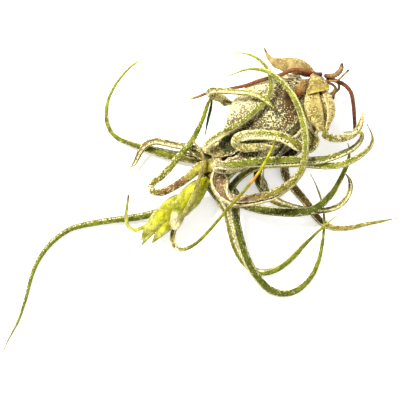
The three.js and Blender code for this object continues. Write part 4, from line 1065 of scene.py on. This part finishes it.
leaf(
    "offset_leaf", tier=1, azimuth=-40, leave=15, shoot=OFFSET, half_angle=140, lap=0, wall=0.7,
    leaving=5, leaving_half=1.5,
    facing={0.8: 180, 1: 180},
    tints={-1: STRAW, 0: OLIVE, 0.3: TAN_GREEN, 0.85: TAN_GREEN, 1: OLIVE},
    scurf={-1: 1.3, 0: 0.9, 0.5: 0.7, 0.9: 0.6, 1: 0.2},
    route=[
        [325.2, 134.5, 29.6, 1.3], [329.5, 138, 28.3, 1.35], [336.5, 138.8, 26.2, 1.35],
        [344.5, 137.7, 23.6, 1.3], [351.5, 135, 21.6, 1.2], [357, 130.2, 20.5, 1.05],
        [360.7, 122.5, 19.7, 0.85], [362.2, 112.5, 19, 0.4],
    ],
)


# The flower spike, as in the CAD part

SPIKE_CORE = [
    [209.4, 179.1, 13.95, 1.4], [199, 189, 13.9, 1.4], [193, 195, 13.6, 2.1], [180, 208, 12.5, 2.4],
    [166, 221, 11.2, 1.8], [156, 230.5, 10.2, 1],
]
BRACT_TINTS = {0: LIME, 0.5: LIME, 0.8: PALE_LIME, 0.93: FRESH_GREEN, 1: FOLD_CREAM}
BRACT_SCURF = {0: 0.5, 1: 0.55}


def bract(number, rolls, arc, route, tints=BRACT_TINTS):
    skin = strip_skin(route, rolls, arc, BLADE_WALL)
    name = f"flower_spike.bract_{number}"
    settle(skin_object(name, skin, tints, BRACT_SCURF, BRACT_SKIN), "bract", "flower_spike")
    rng = np.random.default_rng(199 + number)
    coated(name + ".scales", "bract", skin, BRACT_SCURF, BRACT_COAT, rng)


bract(
    1, rolls=(0, 0), arc=(95, 100),
    tints={
        0: LIME, 0.2: LIME, 0.27: FRESH_GREEN, 0.31: FOLD_CREAM, 0.4: FOLD_CREAM, 0.46: SAGE,
        0.8: TAN_GREEN, 1: STRAW,
    },
    route=[
        [205, 177.5, 15, 0.9], [197.8, 185, 16.9, 2.2], [188.5, 195, 17.3, 2.8], [181, 206, 16.7, 2.9],
        [176, 215, 15.6, 2.3], [173.6, 222, 14.8, 1.3], [174.4, 227.4, 14.9, 0.85],
        [178, 225.5, 16.3, 0.8], [182.4, 217, 18, 0.8], [187.5, 208, 19.2, 0.8], [193, 197, 20.2, 0.75],
        [197.5, 184, 20.8, 0.65], [201.5, 170, 20.8, 0.5], [203.5, 158.5, 20.2, 0.45],
        [199.5, 149, 19.3, 0.42], [192.5, 140.5, 18.4, 0.36],
    ],
)
bract(
    2, rolls=(35, 25), arc=(100, 100),
    route=[
        [188, 194, 14.6, 1.4], [173, 200, 15, 3], [160.5, 211, 14.2, 3.3], [151, 222, 12.7, 2.5],
        [144.5, 232, 11.2, 1.3], [140.5, 240, 10.2, 0.4],
    ],
)
bract(
    3, rolls=(-20, -30), arc=(85, 100),
    route=[
        [208, 177.5, 14.7, 0.9], [205.4, 183.5, 15.9, 2], [201.3, 191, 15.8, 2.7], [195, 202, 14.8, 2.8],
        [187, 212, 13.4, 2], [180, 220, 12.3, 0.7],
    ],
)
bract(
    4, rolls=(-25, -15), arc=(95, 95),
    route=[
        [189, 206, 13, 1.2], [178, 217, 13.8, 2.3], [168, 226.5, 12.8, 2.5], [159.5, 235, 11.2, 1.6],
        [152, 243, 9.8, 0.4],
    ],
)
bract(
    5, rolls=(0, -10), arc=(95, 95),
    route=[
        [172, 211, 12.8, 1.2], [160, 222, 12.3, 2.1], [150.5, 232.5, 11, 1.5], [142, 245, 9.2, 0.4],
    ],
)
bract(
    6, rolls=(60, 10), arc=(95, 100),
    tints={0: LIME, 0.4: LIME, 0.6: PALE_LIME, 0.85: FRESH_GREEN, 1: TIP_BROWN},
    route=[
        [170, 212, 11.6, 1.3], [158, 215.5, 11.8, 1.9], [150, 221, 11.2, 1.2], [142, 226.5, 10.4, 0.85],
        [134, 229, 9.6, 0.75], [128.6, 225.5, 9, 0.7], [126.5, 217, 8.8, 0.65], [127.3, 206, 8.8, 0.5],
        [128.6, 195, 9, 0.4],
    ],
)
bract(
    7, rolls=(180, 180), arc=(100, 95),
    route=[
        [192, 196, 11, 1.3], [177, 208, 9.8, 2.9], [163, 220, 8.9, 2.6], [150, 232, 8.4, 1.2],
        [144.5, 238.5, 8.2, 0.4],
    ],
)


def tube_object(name, route, sides, tints, rng):
    """A wiry piece of round section with a slightly rough surface."""
    line, tangents, gone, sizes = walk_route(route)
    kept = thin(tangents, gone, TUBE_RING_EVERY)
    turns = 2 * math.pi * np.arange(sides) / sides
    rings = []
    for i in kept:
        reaches = sizes[i] * (1 + TUBE_ROUGHNESS * rng.uniform(-1, 1, sides))
        back = rolled(tangents[i], 0)
        rings.append(around(line[i], back, np.cross(tangents[i], back), turns, reaches))
    points = above(rings, LOWEST).reshape(-1, 3)
    colours = np.repeat(keyed(tints, gone[kept] / gone[-1]), sides, axis=0)
    faces = [ring_quads(len(rings), sides), tube_caps(len(rings), sides)]
    return make_object(name, points, faces, ROOT, None, {"tint": colours})


tube_rng = np.random.default_rng(300)
spindle = tube_object("flower_spike.spindle", SPIKE_CORE, SPINDLE_SIDES, {0: LIME, 1: LIME}, tube_rng)
settle(spindle, "bract", "flower_spike")

# Roots

ROOT_TINTS = {0: ROOT_DARK, 0.2: ROOT_BROWN, 0.9: ROOT_BROWN, 1: STRAW}
STUB_TINTS = {0: ROOT_BROWN, 0.4: RUST, 0.85: RUST, 1: ROOT_DARK}


def root(name, tints, route):
    settle(tube_object(name + ".skin", route, ROOT_SIDES, tints, tube_rng), "root", name)


root("root_left", ROOT_TINTS, [
    [320.6, 74, 15.8, 0.7], [319.8, 74.4, 18.6, 0.7], [312.5, 74, 21.8, 0.7], [304, 71.4, 23, 0.65],
    [294.6, 70, 23.6, 0.65], [285.3, 73.2, 24, 0.65], [276, 76.5, 24.4, 0.65], [265, 79.5, 24.2, 0.65],
    [255, 82.5, 22.6, 0.65], [245, 85.8, 19.6, 0.65], [234, 88, 16, 0.6], [222, 90.4, 13.6, 0.6],
    [209, 92.6, 12.5, 0.55], [197, 97, 11.6, 0.5], [189.5, 99, 11, 0.35],
])
root("root_right", ROOT_TINTS, [
    [327, 78, 13.6, 0.75], [336, 81, 14.8, 0.75], [344.3, 84.9, 15, 0.75], [350.7, 91.9, 13.4, 0.75],
    [353.2, 101.5, 11, 0.7], [354.5, 114.2, 8, 0.7], [355.4, 129, 5, 0.6],
])
root("root_stub_1", STUB_TINTS, [
    [325.6, 75.8, 15.8, 0.8], [329.5, 76, 17.8, 0.85], [334, 75.6, 19, 0.95], [339, 72, 20, 1],
    [341, 68, 20.4, 0.85], [341.4, 63.5, 20.6, 0.5],
])
root("root_stub_2", STUB_TINTS, [
    [324.2, 80.7, 16, 0.4], [330, 81, 18, 0.4], [337, 80.5, 18.6, 0.4], [343, 75.5, 19.6, 0.4],
    [348.5, 70, 20.2, 0.45],
])
root("root_stub_3", STUB_TINTS, [
    [326.5, 82.5, 12.6, 0.5], [332.5, 84.5, 12.2, 0.5], [335.6, 88, 12, 0.5], [333, 92, 11.4, 0.5],
    [327.5, 97, 10.6, 0.45],
])
root("root_stub_4", STUB_TINTS, [
    [329, 79, 11.2, 0.5], [338, 82.5, 9.2, 0.5], [339.2, 88, 8.8, 0.5], [334.7, 93, 8.4, 0.5],
    [333, 99, 8, 0.5],
])

# The offset's stem and the bulb's stem keep their CAD solids, in a finish of their own

for name in ("stem", "offset_stem"):
    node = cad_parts[name]
    node.data.materials.clear()
    node.data.materials.append(STEM)

# The offset's sheath

MOUTH_FROM = 11.3
MOUTH_AT = 15.5
MOUTH_DRAWN_IN = 0.66
MOUTH_WALL = 0.3
OFFSET_RINGS = 30
OFFSET_WALL = 0.8
OFFSET_AZIMUTH = math.radians(160)
OFFSET_HALF_ANGLE = math.radians(172)
OFFSET_TINTS = {0: STRAW, 0.3: PUP_CREAM, 1: PUP_CREAM}
OFFSET_SCURF = {0: 0.8, 0.2: 1.1, 1: 1.1}


def offset_sheath():
    """A whole sheath, drawn in to a thin mouth round the leaf that comes out of it."""
    rings = []
    stations = np.linspace(OFFSET.tiers[0][1], MOUTH_AT, OFFSET_RINGS)
    for station in stations:
        closing = smooth((station - MOUTH_FROM) / (MOUTH_AT - MOUTH_FROM))
        rings.append(sheath_section(
            OFFSET, 0, OFFSET_AZIMUTH, station, OFFSET_HALF_ANGLE,
            wall=mix(OFFSET_WALL, MOUTH_WALL, closing),
            drawn_in=mix(1, MOUTH_DRAWN_IN, closing),
        ))
    skin = Skin(rings, stations - stations[0])
    piece = skin_object("offset_sheath.skin", skin, OFFSET_TINTS, OFFSET_SCURF, DRY_SKIN)
    settle(piece, "offset", "offset_sheath")
    rng = np.random.default_rng(400)
    coated("offset_sheath.scales", "offset", skin, OFFSET_SCURF, OFFSET_COAT, rng)


offset_sheath()

# The old dry leaves

DRY_WALL = 0.7
DRY_SCURF = {0: 0.5, 1: 0.5}


def dry_strip(name, rolls, arc, tints, route):
    skin = strip_skin(route, rolls, arc, DRY_WALL)
    settle(skin_object(name + ".skin", skin, tints, DRY_SCURF, DRY_SKIN), "dry_leaf", name)


dry_strip(
    "dry_leaf", rolls=(20, 40), arc=(60, 80),
    tints={0: DRY_BROWN, 0.3: STRAW, 0.8: STRAW, 1: OLIVE},
    route=[
        [315, 75, 17.6, 1.4], [308, 70, 19.5, 2.6], [299, 65, 20.4, 3.2], [287, 62, 20.4, 3.2],
        [277, 60.5, 19.4, 2.3], [270.5, 57.5, 18.2, 1.2], [266.8, 52.5, 17.2, 0.6],
        [264.6, 47.5, 16.4, 0.4],
    ],
)
dry_strip(
    "dry_sheath", rolls=(-10, 0), arc=(60, 50),
    tints={0: DRY_BROWN, 0.5: RUST, 1: DRY_BROWN},
    route=[
        [310, 81.5, 20, 1.2], [305, 84, 22.4, 1.8], [300, 89.5, 24.6, 1.8], [296, 96, 25.8, 1],
    ],
)
dry_strip(
    "dry_hood", rolls=(0, 0), arc=(70, 58),
    tints={0: DRY_BROWN, 0.3: HOOD_OLIVE, 0.85: HOOD_OLIVE, 1: HOOD_YELLOW},
    route=[
        [311.5, 74.5, 28, 1.2], [313.3, 78.3, 30.6, 2.6], [315.2, 83, 32.5, 3.7], [316.6, 88, 33.4, 4.15],
        [317.6, 92.5, 33.6, 3.95],
    ],
)


# The table, the light and the camera

TABLE_HALF = 900
TABLE_TOP = -0.05


def table():
    sides = [(-1, -1), (1, -1), (1, 1), (-1, 1)]
    corners = [[x * TABLE_HALF, y * TABLE_HALF, TABLE_TOP] for x, y in sides]
    shader = Shader("table", Roughness=0.9, Emission_Color=(1, 1, 1, 1), Emission_Strength=0.32)
    make_object("table", corners, [[[0, 1, 2, 3]]], shader.colour((0.93, 0.93, 0.95)))


def area_light(name, place, size, watts):
    """A round lamp, size mm wide, aimed at the plant."""
    data = bpy.data.lights.new(name, "AREA")
    data.shape = "DISK"
    data.size = size * MM
    data.energy = watts
    lamp = bpy.data.objects.new(name, data)
    lamp.location = [c * MM for c in place]
    lamp.rotation_euler = Vector([-c for c in place]).to_track_quat("-Z", "Y").to_euler()
    bpy.context.scene.collection.objects.link(lamp)


table()
area_light("key", (-350, 420, 900), 260, 18.5)
area_light("fill", (500, -300, 900), 700, 3)
world = bpy.data.worlds.new("studio")
world.use_nodes = True
world.node_tree.nodes["Background"].inputs["Color"].default_value = (1, 1, 1, 1)
world.node_tree.nodes["Background"].inputs["Strength"].default_value = 0.42
bpy.context.scene.world = world
bpy.context.scene.view_settings.view_transform = "Standard"
bpy.context.scene.view_settings.look = "Medium High Contrast"

# The photograph looks straight down. Its middle falls on square (200, 200).
VIEW_WIDTH = 400 * SQUARE
VIEW_HEIGHT = 13
LENS = 800
SENSOR = 36
CLIP_END = 20  # metres
camera_data = bpy.data.cameras.new("camera")
camera_data.lens = LENS
camera_data.sensor_width = SENSOR
camera_data.clip_end = CLIP_END
camera = bpy.data.objects.new("camera", camera_data)
centre = spot(200, 200, VIEW_HEIGHT + VIEW_WIDTH * LENS / SENSOR)
camera.location = [c * MM for c in centre]
bpy.context.scene.collection.objects.link(camera)
bpy.context.scene.camera = camera
